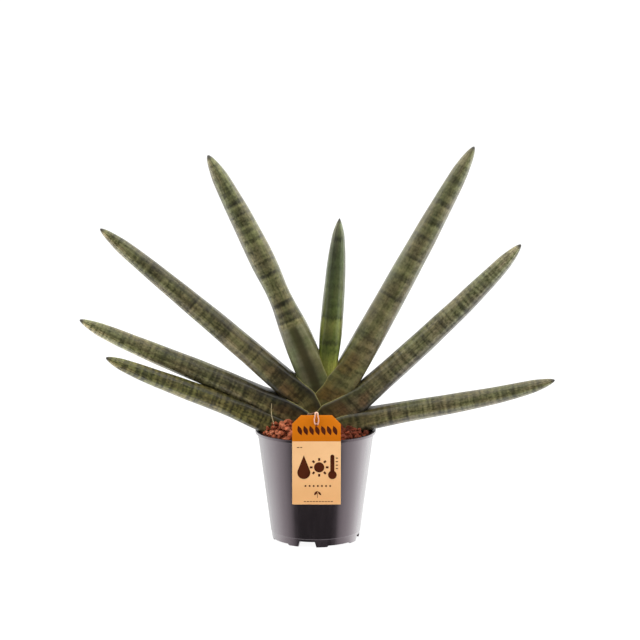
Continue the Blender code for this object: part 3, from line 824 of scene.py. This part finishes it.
def leaf_skin(leaf, look):
    """Waxy skin with ragged cross bands, lengthwise strokes, greyer flanks and a dark hard tip."""
    made = Shading(leaf.name)
    skin = made.attribute("skin")
    across, _, along = made.split(skin)
    side = made.math("DIVIDE", made.math("ABSOLUTE", across), SKIN_RADIUS)
    strokes = made.noise(skin, (0.45, 0.45, 0.03), 3.0, 0.6)
    dashes = made.noise(skin, (0.6, 0.6, 0.12), 1.0)
    flecks = made.noise(skin, (0.5, 0.5, 0.38), 1.0)
    shifted = made.math("ADD", along, made.weigh((strokes, 2 * look.jag), (dashes, look.jag)))
    bent = made.add("ShaderNodeCombineXYZ", {"X": made.times(across, 0.03), "Y": leaf.neck[0],
                                             "Z": made.math("DIVIDE", shifted, look.pitch)})
    bands = made.noise(bent, 1.0, 1.5)
    heart = made.spread(along, look.heart, look.heart + 5)
    flank = made.spread(side, 0.1, 0.42)
    calm = made.times(made.spread(side, 0.4, 1.0, 1.0, look.reach),
                      made.spread(heart, 0.0, 1.0, 1.0, 0.3))
    pattern = made.weigh((bands, 2.4), (flecks, 1.4), (dashes, 0.7), (strokes, 0.3))
    tone = made.math("ADD", made.times(pattern, made.times(calm, look.contrast)), 0.5)
    dark_band = tinted(look.colour, DARK_BAND)
    colour = made.mix(tone, dark_band, tinted(look.colour, PALE_BAND))
    ridges = made.noise(skin, (0.42, 0.42, 0.005), 1.0)
    lines = made.spread(made.math("ABSOLUTE", made.math("SUBTRACT", ridges, 0.5)), 0.0, LINE_HALF,
                        look.lines, 0.0)
    middle = made.spread(made.times(heart, made.math("SUBTRACT", 1.0, flank)),
                         0.0, 1.0, 0.0, HEART_TONE)
    colour = made.mix(made.math("MAXIMUM", lines, middle), colour, dark_band)
    colour = made.tint(colour, HEART_FLANK, made.times(heart, flank))
    hue = made.spread(made.noise(skin, (0.09, 0.09, 0.03), 3.0), 0.38, 0.62)
    colour = made.tint(colour, made.mix(hue, GREENER, BROWNER))
    upper = math.copysign(SKIN_RADIUS, leaf.tip[0])
    facing = made.spread(made.math("ADD", across, made.weigh((strokes, 3.0))), -upper, upper,
                         smooth=False)
    flanks = made.mix(made.spread(facing, 0.1, 0.75), LOWER_TINT, UPPER_TINT)
    colour = made.tint(colour, flanks, made.spread(side, 0.1, 0.5))
    neck = max(section.along for section in leaf_sections(leaf) if section.share <= 1)
    drift = made.mix(made.spread(along, 0.0, neck, smooth=False), TIP_TINT, NECK_TINT)
    colour = made.tint(colour, drift)
    bars = []
    for place in look.bars:
        for step, brightness in ((-BAR_FADE, 1.0), (0, BAR_TONE), (2 * BAR_HALF, BAR_TONE),
                                 (2 * BAR_HALF + BAR_FADE, 1.0)):
            bars.append(((place - BAR_HALF + step) / LONGEST_LOOK, grey(brightness)))
    length = made.math("DIVIDE", shifted, LONGEST_LOOK)
    colour = made.tint(colour, made.ramp(length, bars), made.spread(side, 1.0, 0.3, 0.35, 1.0))
    # rounds and shades hold the leaf's own tones and also painted light and shade: light on sides in the
    # shade of other leaves, shade towards the neck
    rounds = made.ramp(facing, [((spot + 1) / 2, grey(factor / BRIGHTEST_SHADE))
                                for spot, factor in look.rounds])
    shades = made.ramp(length, [(spot / LONGEST_LOOK, tinted(shade, grey(1 / BRIGHTEST_SHADE)))
                                for spot, shade in look.shades])
    both = made.scaled(made.tint(rounds, shades), grey(BRIGHTEST_SHADE ** 2))
    colour = made.tint(colour, both)
    ruddy = made.noise(skin, (0.08, 0.08, 0.05))
    crown = made.times(made.spread(along, neck - 70, neck, 0.0, look.blush),
                       made.spread(ruddy, 0.42, 0.6, 0.1, 1.0))
    colour = made.tint(colour, CROWN_TINT, crown)
    # Painted shade: the flanks of each sheath darken towards the neck, where the leaves crowd round the
    # crown
    fold = made.times(made.spread(along, neck - 70, neck - 5), made.spread(side, 0.2, 0.75))
    colour = made.tint(colour, (look.fold, look.fold, look.fold * 0.8), fold)
    colour = made.mix(made.attribute("margin", "Fac"), colour, MARGIN_COLOUR)
    colour = made.mix(made.spread(along, 1.0, 6.0, 1.0, 0.0), colour, TIP_COLOUR)
    grain = made.noise(skin, (3.0, 3.0, 0.5), 3.0)
    made.set(Base_Color=colour, Roughness=made.spread(dashes, 0.3, 0.7, 0.36, 0.48),
             Specular_IOR_Level=0.28)
    made.bump(made.weigh((dashes, 1.0), (grain, 0.35)), 0.1)
    return made.material


def margin_skin():
    """Thin papery edge of a sheath."""
    made = Shading("leaf_margin")
    flecks = made.noise(made.place(), 900.0, 2.0)
    made.set(Base_Color=made.mix(flecks, (0.15, 0.14, 0.04), (0.30, 0.27, 0.085)), Roughness=0.6,
             Specular_IOR_Level=0.28)
    return made.material


def stem_body():
    """Room for the stem that the leaves clasp."""
    return cylinder((STEM_X, 0, 0), STEM_RADIUS + GAP, 2 * STEM_TOP + 2 * GAP, STEM_SIDES)


def build_leaves():
    """Sweep each leaf, cut every leaf inside it out of its sheath, and edge it with a margin."""
    margin = margin_skin()
    pieces = []
    for place, leaf in enumerate(LEAVES):
        skin = leaf_skin(leaf, LOOKS[leaf.name])
        made = solid(leaf.name + "_skin", leaf_body(leaf, relief=True), skin, margin)
        inner = [leaf_body(other, GAP) for other in LEAVES[:place]]
        cut(made, [*inner, stem_body()], marked=True)
        keep_largest(made)
        rims = []
        for path in rim_paths(made.data):
            rims += margin_runs(evened(path, MARGIN_STEP))
        add_skin_layout(made, leaf, rims)
        with edited(made) as mesh:
            start = len(mesh.faces)
            for path in rims:
                ends = [min(i, len(path) - 1 - i) / MARGIN_TAPER for i in range(len(path))]
                radii = [MARGIN_RADIUS * MM * min(1, MARGIN_END + end) for end in ends]
                tube([point * MM for point in path], radii, MARGIN_SIDES, 1.0, mesh)
            mesh.faces.ensure_lookup_table()
            for face in mesh.faces[start:]:
                face.material_index = 1
                face.smooth = True
        finish(made, leaf.name, leaf.name)
        pieces.append(made)
    return pieces


def finish(made, node, slot):
    """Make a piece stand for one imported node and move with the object's one body."""
    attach(made, "root")
    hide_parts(node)


def pot_wall_radius(height):
    """Outer radius of the pot's straight tapering wall."""
    share = height / (POT_HEIGHT - LIP_HEIGHT)
    return POT_FOOT_RADIUS + (POT_TOP_RADIUS - POT_FOOT_RADIUS) * share


def corner(centre, radius, start, end, steps=5):
    """Points of a round corner of an outline, from one direction to another."""
    points = []
    for i in range(steps + 1):
        angle = math.radians(start + (end - start) * i / steps)
        points.append((centre[0] + radius * math.cos(angle), centre[1] + radius * math.sin(angle)))
    return points


def outward(angle):
    """Level direction from the pot's axis: 0 faces the front, and angles grow to the right."""
    turn = math.radians(angle)
    return Vector((math.sin(turn), -math.cos(turn), 0))


def sector(inner, outer, low, high, middle, arc):
    """A block between two radii and two heights over an arc about the pot's axis.

    The arc is its width at the top; at the bottom it is wider by the notches' flare on each side.
    """
    steps = max(2, int(arc / 2) + 1)
    rings = []
    for i in range(steps + 1):
        share = i / steps - 0.5
        top = outward(middle + arc * share)
        foot = outward(middle + (arc + 2 * NOTCH_FLARE) * share)
        rings.append([foot * inner + UP * low, foot * outer + UP * low,
                      top * outer + UP * high, top * inner + UP * high])
    return loft(rings)


def black_plastic():
    """Thin injection-moulded plastic with faint flow lines, an even grain and some dust."""
    made = Shading("black_plastic")
    place = made.place()
    flow = made.noise(place, (260.0, 260.0, 14.0), 3.0)
    grain = made.noise(place, 2600.0, 2.0)
    dust = made.spread(made.noise(place, 900.0, 4.0, 0.7), 0.66, 0.8)
    colour = made.mix(made.noise(place, 30.0, 3.0), (0.0080, 0.0062, 0.0072), (0.0125, 0.0100, 0.0112))
    colour = made.mix(made.times(dust, 0.25), colour, (0.12, 0.1, 0.085))
    made.set(Base_Color=colour, Roughness=made.spread(flow, 0.3, 0.7, 0.2, 0.27),
             Specular_IOR_Level=0.5, Specular_Tint=(1.0, 0.81, 0.90))
    made.bump(made.math("ADD", flow, made.times(grain, 0.4)), 0.02)
    return made.material


def build_pot():
    lip_foot = POT_HEIGHT - LIP_HEIGHT
    floor_top = FLOOR_UNDERSIDE + FLOOR_THICKNESS
    step = pot_wall_radius(SKIRT_STEP_HEIGHT)
    skirt_inner = pot_wall_radius(0) - 2 * POT_WALL
    brim = pot_wall_radius(POT_HEIGHT) - POT_WALL
    outline = [
        (0, FLOOR_UNDERSIDE),
        *corner((skirt_inner - SKIRT_DRAFT - SKIRT_ROUND, FLOOR_UNDERSIDE - SKIRT_ROUND),
                SKIRT_ROUND, 90, 0),
        *corner((skirt_inner + FOOT_ROUND, FOOT_ROUND), FOOT_ROUND, 180, 270, 3),
        *corner((pot_wall_radius(0) - FOOT_ROUND, FOOT_ROUND), FOOT_ROUND, 270, 360, 3),
        (step, SKIRT_STEP_HEIGHT - 0.15),
        (step + 0.05, SKIRT_STEP_HEIGHT),
        *corner((step + SKIRT_STEP - 0.2, SKIRT_STEP_HEIGHT + SKIRT_STEP), 0.2, -60, 0, 3),
        (pot_wall_radius(lip_foot - 0.6), lip_foot - 0.6),
        (pot_wall_radius(lip_foot) + 0.15, lip_foot - 0.1),
        (pot_wall_radius(lip_foot) + 0.7, lip_foot),
        *corner((LIP_RADIUS - LIP_UNDER_ROUND, lip_foot + LIP_UNDER_ROUND), LIP_UNDER_ROUND, 270, 360),
        *corner((LIP_RADIUS - LIP_ROUND, POT_HEIGHT - LIP_ROUND), LIP_ROUND, 0, 90),
        *corner((brim + LIP_ROUND, POT_HEIGHT - LIP_ROUND), LIP_ROUND, 90, 180),
        *corner((pot_wall_radius(floor_top) - POT_WALL - FLOOR_ROUND, floor_top + FLOOR_ROUND),
                FLOOR_ROUND, 0, -90),
        (0, floor_top),
    ]
    made = solid("pot_shell", turned(outline, POT_SIDES), black_plastic())
    pitch = 360 / NOTCH_COUNT
    plain_arc = pitch - NOTCH_ARC - 2 * FOOT_ARC
    inside = skirt_inner - 3 * SKIRT_DRAFT
    for i in range(NOTCH_COUNT):
        middle = FIRST_NOTCH + pitch * i
        notch = sector(inside, LIP_RADIUS, -FOOT_HEIGHT, NOTCH_HEIGHT, middle, NOTCH_ARC - NOTCH_FLARE)
        plain = sector(inside, LIP_RADIUS, -FOOT_HEIGHT, FOOT_HEIGHT, middle + pitch / 2,
                       plain_arc - NOTCH_FLARE)
        drain = outward(middle) * DRAIN_PITCH + UP * floor_top
        cut(made, [notch, plain, cylinder(drain, DRAIN_RADIUS, 6 * FLOOR_THICKNESS, DRAIN_SIDES)])
    finish(made, "pot", "pot")


def heap_height(x, y):
    """Height of the heap's even surface."""
    radius = math.hypot(x, y)
    wall = pot_wall_radius(BED_WALL_TOP) - POT_WALL
    left = ease(-x / wall + 0.5) * ease(-y / wall + 0.6)
    rise = HEAP_RISE + HEAP_LEFT_RISE * left
    return BED_WALL_TOP + rise * (1 - min(1, radius / wall) ** HEAP_SHOULDER)


def fired_clay():
    """Chipped brown-red clay: every granule its own tone, with grit, pores and paler dust, and painted
    highlights in paler patches and pale flecks.
    """
    made = Shading("fired_clay")
    place = made.place()
    tone = made.attribute("tone", "Fac")
    grit = made.noise(place, 1500.0, 5.0, 0.7)
    patches = made.noise(place, 260.0, 3.0)
    colour = made.ramp(tone, ((0.0, (0.045, 0.009, 0.004)), (0.35, (0.090, 0.019, 0.008)),
                              (0.7, (0.165, 0.041, 0.017)), (1.0, (0.34, 0.115, 0.058))))
    # Painted highlights: paler patches over the clay
    colour = made.tint(colour, (1.75, 1.65, 1.6), made.spread(patches, 0.4, 0.65))
    # Pale flecks on the grit: dust, and painted highlights
    colour = made.mix(made.spread(grit, 0.58, 0.72), colour, (0.34, 0.16, 0.09))
    colour = made.mix(made.spread(grit, 0.3, 0.46, 0.9, 0.0), colour, (0.010, 0.003, 0.002))
    made.set(Base_Color=colour, Roughness=0.85, Specular_IOR_Level=0.12)
    made.bump(made.math("ADD", grit, made.times(patches, 0.6)), 0.5)
    return made.material


def granule_points(source, directions):
    """A chipped granule about the origin: a ball cut by planes and roughened."""
    normals = np.array([[source.gauss(0, 1) for _ in range(3)] for _ in range(GRANULE_CUTS)])
    normals /= np.linalg.norm(normals, axis=1)[:, None]
    offsets = np.array([source.uniform(*GRANULE_FACES) for _ in range(GRANULE_CUTS)])
    reach = offsets / np.maximum(directions @ normals.T, 0.05)
    radius = np.minimum(reach.min(axis=1), GRANULE_REACH)
    rough = Vector([source.uniform(0, 90) for _ in range(3)])
    for i, direction in enumerate(directions):
        radius[i] *= 1 + GRANULE_ROUGHNESS * noise.noise(Vector(direction) * GRANULE_GRAIN + rough)
    stretch = np.array([source.uniform(*GRANULE_STRETCH) for _ in range(3)])
    return directions * radius[:, None] * stretch


def leaf_rooms(pieces):
    """A search tree for each leaf's surface, in millimetres."""
    rooms = []
    for piece in pieces:
        points = [vert.co / MM for vert in piece.data.vertices]
        rooms.append(BVHTree.FromPolygons(points, [face.vertices for face in piece.data.polygons]))
    return rooms


def encloses(room, place):
    """Whether a place is inside a leaf: a ray upwards then leaves it once more than it enters."""
    crossings = 0
    spot, normal, _, _ = room.ray_cast(place, UP)
    while spot is not None:
        crossings += 1 if normal.z > 0 else -1
        spot, normal, _, _ = room.ray_cast(spot + UP * RAY_STEP, UP)
    return crossings > 0


def room_left(rooms, place):
    """Distance from a place to the nearest leaf, or less than nothing inside one."""
    nearest = math.inf
    for room in rooms:
        nearest = min(nearest, -1 if encloses(room, place) else room.find_nearest(place)[3])
    return nearest


def build_bed(clay):
    """A low bed between the pot's wall and the leaves."""
    low = SOIL_TOP + GAP
    wall = pot_wall_radius(low) - POT_WALL - GAP
    rings = [circle(wall * 0.4, BED_SIDES, low), circle(wall, BED_SIDES, low)]
    for inset in BED_RING_INSETS:
        rings.append([(x, y, heap_height(x, y) - BED_DROP)
                      for x, y, _ in circle(wall - inset, BED_SIDES)])
    # The bed has no tone of its own, so it takes the clay's darkest colour: painted shade in the gaps
    # between the granules
    bed = solid("granule_bed", loft(rings), clay)
    cut(bed, [*(leaf_body(leaf, GAP) for leaf in LEAVES), stem_body()])
    keep_largest(bed)
    finish(bed, "clay_granules", "clay_granules")


def build_granules(leaves, clay):
    """Heap the granules in layers on the bed, clear of the leaves and of the pot's wall."""
    source = random.Random(GRANULE_SEED)
    rooms = leaf_rooms(leaves)
    reach = pot_wall_radius(BED_WALL_TOP) - POT_WALL - GRANULE_WALL_GAP
    points, faces, tones = [], [], []
    for rise, spacing, sizes, fineness, limit in GRANULE_LAYERS:
        pattern = bmesh.new()
        bmesh.ops.create_icosphere(pattern, subdivisions=fineness, radius=1.0)
        directions = np.array([vert.co for vert in pattern.verts])
        triangles = [[vert.index for vert in face.verts] for face in pattern.faces]
        pattern.free()
        placed = []
        for _ in range(GRANULE_TRIES):
            size = source.uniform(*sizes)
            angle = source.uniform(0, 2 * math.pi)
            radius = reach * math.sqrt(source.random())
            x, y = radius * math.cos(angle), radius * math.sin(angle)
            if x > limit or any(math.hypot(x - a, y - b) < spacing for a, b in placed):
                continue
            lift = rise + source.uniform(-GRANULE_JITTER, GRANULE_JITTER)
            centre = Vector((x, y, heap_height(x, y) - BED_DROP + lift))
            span = size * GRANULE_SPAN
            if radius + span > reach and centre.z - span < POT_HEIGHT:
                continue
            if room_left(rooms, centre) < span:
                continue
            placed.append((x, y))
            start = len(points)
            points.extend(granule_points(source, directions) * size + np.array(centre))
            faces.extend([[start + i for i in face] for face in triangles])
            # Painted light: granules on the left of the heap get paler tones
            tone = source.uniform(0, 1 - GRANULE_LEFT_LIGHT) + (GRANULE_LEFT_LIGHT if x < 0 else 0)
            tones.extend([tone] * len(directions))
    data = bpy.data.meshes.new("clay_granules_loose")
    data.from_pydata([tuple(point * MM) for point in points], [], faces)
    smooth(data)
    data.materials.append(clay)
    store(data, "tone", "FLOAT", "value", tones)
    finish(added("clay_granules_loose", data), "clay_granules", "clay_granules")


def tag_frame():
    """The middle of the tag's top edge on its front face, and its down and back directions."""
    tilt = math.radians(TAG_TILT)
    down = Vector((0, -math.sin(tilt), -math.cos(tilt)))
    back = Vector((0, math.cos(tilt), -math.sin(tilt)))
    lip = Vector((TAG_X, -LIP_RADIUS - GAP, POT_HEIGHT - LIP_EDGE))
    top = lip - back * TAG_THICKNESS - down * ((TAG_TOP - lip.z) / math.cos(tilt))
    return top, down, back


def on_tag(x, drop, deep=0.0):
    """A point by how far it is right of the tag's middle, below its top and behind its front."""
    top, down, back = tag_frame()
    return top + RIGHT * x + down * drop + back * deep


def card_finish(name, first, second):
    """Smooth coated card with faint fibres under the print, a little darker and warmer low down."""
    made = Shading(name)
    place = made.place()
    fibres = made.noise(place, (1500.0, 1500.0, 500.0), 3.0, 0.6)
    clouds = made.noise(place, 60.0, 2.0)
    colour = made.mix(made.spread(clouds, 0.3, 0.7), first, second)
    colour = made.tint(colour, (0.72, 0.66, 0.6), made.spread(fibres, 0.55, 0.8, 0.0, 0.3))
    _, _, height = made.split(place)
    colour = made.tint(colour, (0.92, 0.85, 0.75), made.spread(height, 95 * MM, 60 * MM))
    made.set(Base_Color=colour, Roughness=0.6, Specular_IOR_Level=0.1)
    made.bump(fibres, 0.015)
    return made.material


PEACH = ((0.90, 0.54, 0.265), (0.87, 0.51, 0.245))
ORANGE = ((0.58, 0.157, 0.002), (0.56, 0.147, 0.0015))
BROWN = ((0.060, 0.010, 0.002), (0.080, 0.015, 0.003))


def build_tag():
    half = TAG_WIDTH / 2
    middle = TAG_HEIGHT / 2
    outline = [(-half + TAG_CORNER, 0), (half - TAG_CORNER, 0), (half, TAG_CORNER), (half, TAG_BAND),
               (half, TAG_HEIGHT), (-half, TAG_HEIGHT), (-half, TAG_BAND), (-half, TAG_CORNER)]
    rings = []
    for deep, inset in ((0, TAG_EDGE), (TAG_EDGE, 0), (TAG_THICKNESS - TAG_EDGE, 0),
                        (TAG_THICKNESS, TAG_EDGE)):
        ring = []
        for x, drop in outline:
            x -= math.copysign(inset, x)
            drop += 0 if drop == TAG_BAND else math.copysign(inset, middle - drop)
            ring.append(on_tag(x, drop, deep))
        rings.append(ring)
    card = solid("tag_card_printed", loft(rings), card_finish("tag_peach", *PEACH),
                 card_finish("tag_orange", *ORANGE))
    punch = [on_tag(0, TAG_HOLE_DROP, deep) for deep in (-2, 2)]
    cut(card, [tube(punch, TAG_HOLE_RADIUS, TAG_HOLE_SIDES)], "EXACT")
    # The band's lower edge is cut into both faces, so its colour ends in a straight line
    _, down, _ = tag_frame()
    edge = on_tag(0, TAG_BAND) * MM
    with edited(card) as mesh:
        bmesh.ops.bisect_plane(mesh, geom=[*mesh.verts, *mesh.edges, *mesh.faces], plane_co=edge,
                               plane_no=down)
        for face in mesh.faces:
            in_band = (face.calc_center_median() - edge).dot(down) < 0
            face.material_index = 1 if in_band else 0
    finish(card, "tag_card", "tag_card")
    build_print()


# The print's shapes are outlines of (right, down) points from the middle of the tag's top edge


def dot(x, y, radius, sides=40):
    return [(x + right, y + down) for right, down, _ in circle(radius, sides)]


def turned_about(x, y, angle, points):
    """Points given along and across an angle, from x, y."""
    cos, sin = math.cos(math.radians(angle)), math.sin(math.radians(angle))
    return [(x + along * cos - across * sin, y + along * sin + across * cos)
            for along, across in points]


def bar(x, y, length, width, angle=0):
    """A bar that starts at x, y and points along an angle."""
    half = width / 2
    return turned_about(x, y, angle, [(0, half), (length, half), (length, -half), (0, -half)])


def drop_shape(x, y, radius, height):
    """A water drop whose round part is centred on x, y and whose point is height above it."""
    start = math.acos(radius / height)
    points = [(x, y - height)]
    for i in range(41):
        turn = start + (2 * math.pi - 2 * start) * i / 40
        points.append((x + radius * math.sin(turn), y - radius * math.cos(turn)))
    return points


def lens(x, y, length, width, angle):
    """A pointed leaf shape centred on x, y with its long axis along an angle."""
    points = []
    for side in (1, -1):
        for i in range(12):
            share = i / 12
            points.append(((share - 0.5) * length * side,
                           width / 2 * math.sin(math.pi * share) * side))
    return turned_about(x, y, angle, points)


def build_print():
    """Plain care signs in place of the print: leaves, a drop, a sun, a thermometer and rules."""
    shapes = [lens(-16.2 + 5.7 * i, 14.9, 10.0, 4.2, 70) for i in range(7)]
    shapes += [bar(-19, 31.5, 2.4, 0.8), bar(-15.8, 31.5, 2.0, 0.8)]
    shapes += [drop_shape(-12.3, 56.2, 6.3, 17.0), dot(2.6, 51.0, 5.0)]
    for angle in range(0, 360, 45):
        ray = turned_about(2.6, 51.0, angle, [(6.4, 0)])[0]
        shapes.append(bar(*ray, 2.7, 2.0, angle))
    shapes += [dot(15.4, 58.4, 4.2), bar(15.4, 56.0, 15.5, 4.0, -90), dot(15.4, 40.5, 2.0)]
    shapes += [bar(18.6, 42.0 + 3.4 * i, 2.2, 1.0) for i in range(4)]
    shapes += [dot(-10.7 + 4.0 * i, 69.3, 0.95, 20) for i in range(7)]
    shapes += [lens(-0.6, 76.3, 5.6, 2.4, -50), lens(3.0, 76.6, 5.0, 2.0, -130)]
    shapes += [bar(1.0, 81.0, 4.6, 0.5, -90)]
    shapes += [bar(-12.3 + 2.9 * i, 84.6, 2.0, 0.8) for i in range(10)]
    mesh = bmesh.new()
    for outline in shapes:
        loft([[on_tag(x, y, deep) for x, y in outline] for deep in (-PRINT_RISE, PRINT_RISE)], mesh)
    ink = solid("tag_print", mesh, card_finish("tag_ink", *BROWN))
    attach(ink, "root")


def string_route():
    """Centre-lines of the hitch through the tag's hole and of the tail, and the knot's centre."""
    clear = STRING_RADIUS + GAP
    knot = on_tag(0, -KNOT_RISE, TAG_THICKNESS + KNOT_BEHIND)
    # Stations of one strand of the hitch: distance from the middle, down from the top edge,
    # and back from the card's front face
    strand = (
        (0.75, -KNOT_RISE, TAG_THICKNESS + 1.0),
        (1.3, -1.9, 0.3),
        (HITCH_HALF_WIDTH - 0.6, 1.4, -clear),
        (HITCH_HALF_WIDTH, 4.2, -clear),
        (HITCH_HALF_WIDTH - 0.5, TAG_HOLE_DROP - 1.0, -clear),
        (1.15, TAG_HOLE_DROP + 0.4, TAG_THICKNESS / 2),
        (1.0, TAG_HOLE_DROP + 0.2, TAG_THICKNESS + clear),
    )
    hitch = [on_tag(-x, drop, deep) for x, drop, deep in strand]
    hitch.append(on_tag(0, TAG_HOLE_DROP, TAG_THICKNESS + clear + 1.1))
    hitch += [on_tag(*station) for station in reversed(strand)]
    tail = [knot + Vector(step) for step in TAIL]
    return hitch, tail, knot


def elastic():
    """Covered elastic: a fine diagonal braid in uneven tones, darker and browner further back."""
    made = Shading("elastic")
    place = made.place()
    braid = made.add("ShaderNodeTexWave", {"Vector": place, "Scale": 520.0, "Distortion": 1.5},
                     "Fac", bands_direction="DIAGONAL")
    colour = made.mix(made.noise(place, 400.0), (0.76, 0.47, 0.33), (0.58, 0.31, 0.21))
    colour = made.mix(made.times(braid, 0.35), colour, (0.40, 0.26, 0.21))
    # The string is darker and browner further back, behind the tag
    _, deep, _ = made.split(place)
    colour = made.mix(made.spread(deep, -57.0 * MM, -52.0 * MM, 0.0, 0.8), colour, (0.10, 0.045, 0.018))
    made.set(Base_Color=colour, Roughness=0.75)
    made.bump(braid, 0.08)
    return made.material


def ball(mesh, centre, radius):
    made = bmesh.ops.create_icosphere(mesh, subdivisions=3, radius=radius)
    bmesh.ops.translate(mesh, vec=centre, verts=made["verts"])


def build_string():
    hitch, tail, knot = string_route()
    mesh = bmesh.new()
    ball(mesh, knot, KNOT_RADIUS)
    ball(mesh, tail[-1], TAIL_KNOT_RADIUS)
    tube(smooth_path(hitch, 8), STRING_RADIUS, STRING_SIDES, 0.6, mesh)
    tube(smooth_path(tail, 10), STRING_RADIUS, STRING_SIDES, 1.0, mesh)
    made = solid("tag_string_braid", mesh, elastic())
    finish(made, "tag_string", "tag_string")


def dry_straw():
    made = Shading("dry_straw")
    fleck = made.noise(made.place(), (900.0, 900.0, 120.0), 3.0)
    made.set(Base_Color=made.mix(fleck, (0.5, 0.42, 0.24), (0.26, 0.19, 0.09)), Roughness=0.7)
    made.bump(fleck, 0.05)
    return made.material


def build_fibre():
    mesh = tube(smooth_path(FIBRE, 8), FIBRE_RADIUS, FIBRE_SIDES, 0.3)
    finish(solid("dry_fibre_straw", mesh, dry_straw()), "dry_fibre", "dry_fibre")


def dress_hidden_nodes():
    """Give the stem and the soil, which the pot hides, finishes of their own."""
    bark = Shading("rhizome_skin")
    place = bark.place()
    rings = bark.noise(place, (60.0, 60.0, 700.0), 4.0)
    bark.set(Base_Color=bark.mix(rings, (0.5, 0.36, 0.19), (0.28, 0.17, 0.08)), Roughness=0.7)
    bark.bump(rings, 0.4)
    soil = Shading("potting_soil")
    place = soil.place()
    crumbs = soil.noise(place, 420.0, 6.0, 0.75)
    soil.set(Base_Color=soil.ramp(crumbs, ((0.3, (0.008, 0.005, 0.003)), (0.55, (0.04, 0.025, 0.015)),
                                           (0.75, (0.14, 0.09, 0.05)))), Roughness=0.95)
    soil.bump(crumbs, 1.5)
    for node, made in (("rhizome", bark), ("potting_soil", soil)):
        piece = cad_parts[node]
        piece.data.materials.clear()
        piece.data.materials.append(made.material)


def build_stage():
    """A pale floor that sweeps up into a backdrop far behind."""
    profile = [(FLOOR_FRONT, 0.0), (SWEEP_START, 0.0)]
    profile += corner((SWEEP_START, SWEEP_RADIUS), SWEEP_RADIUS, -85, 0, 17)
    profile.append((SWEEP_START + SWEEP_RADIUS, SWEEP_HEIGHT))
    mesh = bmesh.new()
    sides = (-FLOOR_HALF_WIDTH, FLOOR_HALF_WIDTH)
    rows = [[mesh.verts.new((x, y, z)) for x in sides] for y, z in profile]
    for low, high in zip(rows, rows[1:]):
        mesh.faces.new((low[0], low[1], high[1], high[0]))
    pale = Shading("studio_floor")
    pale.set(Base_Color=FLOOR_COLOUR, Roughness=0.9, Specular_IOR_Level=0.0,
             Emission_Color=WHITE, Emission_Strength=FLOOR_GLOW)
    stage = solid("studio_sweep", mesh, pale.material)
    # The light comes through the floor, which itself doesn't show in gloss
    stage.visible_glossy = False
    stage.visible_diffuse = False


def build_light():
    """Surrounding light: soft panels all round but in front, and light from above and below."""
    world = bpy.data.worlds.new("studio")
    bpy.context.scene.world = world
    world.use_nodes = True
    graph = Graph(world.node_tree)
    x, y, z = graph.split(graph.add("ShaderNodeTexCoord", {}, "Generated"))
    turn = graph.math("ARCTAN2", x, graph.times(y, -1.0))
    stops = [(0.5 + angle / 360, grey(light / BRIGHTEST)) for angle, light in SIDE_LIGHT]
    sides = graph.ramp(graph.spread(turn, -math.pi, math.pi, smooth=False), stops)
    high = graph.spread(z, math.sin(math.radians(OVERHEAD_START)),
                        math.sin(math.radians(OVERHEAD_FULL)))
    low = graph.spread(z, -math.sin(math.radians(UNDER_START)),
                       -math.sin(math.radians(UNDER_FULL)))
    around = graph.mix(high, sides, grey(OVERHEAD_LIGHT / BRIGHTEST))
    shade = graph.nodes["Background"]
    graph.put(shade.inputs["Color"], graph.mix(low, around, grey(UNDER_LIGHT / BRIGHTEST)))
    graph.put(shade.inputs["Strength"], BRIGHTEST)


def build_camera():
    data = bpy.data.cameras.new("camera")
    data.lens = CAMERA_LENS
    data.sensor_width = CAMERA_SENSOR
    data.clip_end = CAMERA_REACH
    made = added("camera", data)
    made.location = Vector(CAMERA_PLACE) * MM
    made.rotation_euler = (math.radians(90 - CAMERA_DIP), 0, 0)
    bpy.context.scene.camera = made


def main():
    build_camera()
    build_light()
    build_stage()
    bpy.context.scene.view_settings.view_transform = "Standard"
    build_pot()
    leaves = build_leaves()
    clay = fired_clay()
    build_bed(clay)
    build_granules(leaves, clay)
    build_tag()
    build_string()
    build_fibre()
    dress_hidden_nodes()


main()
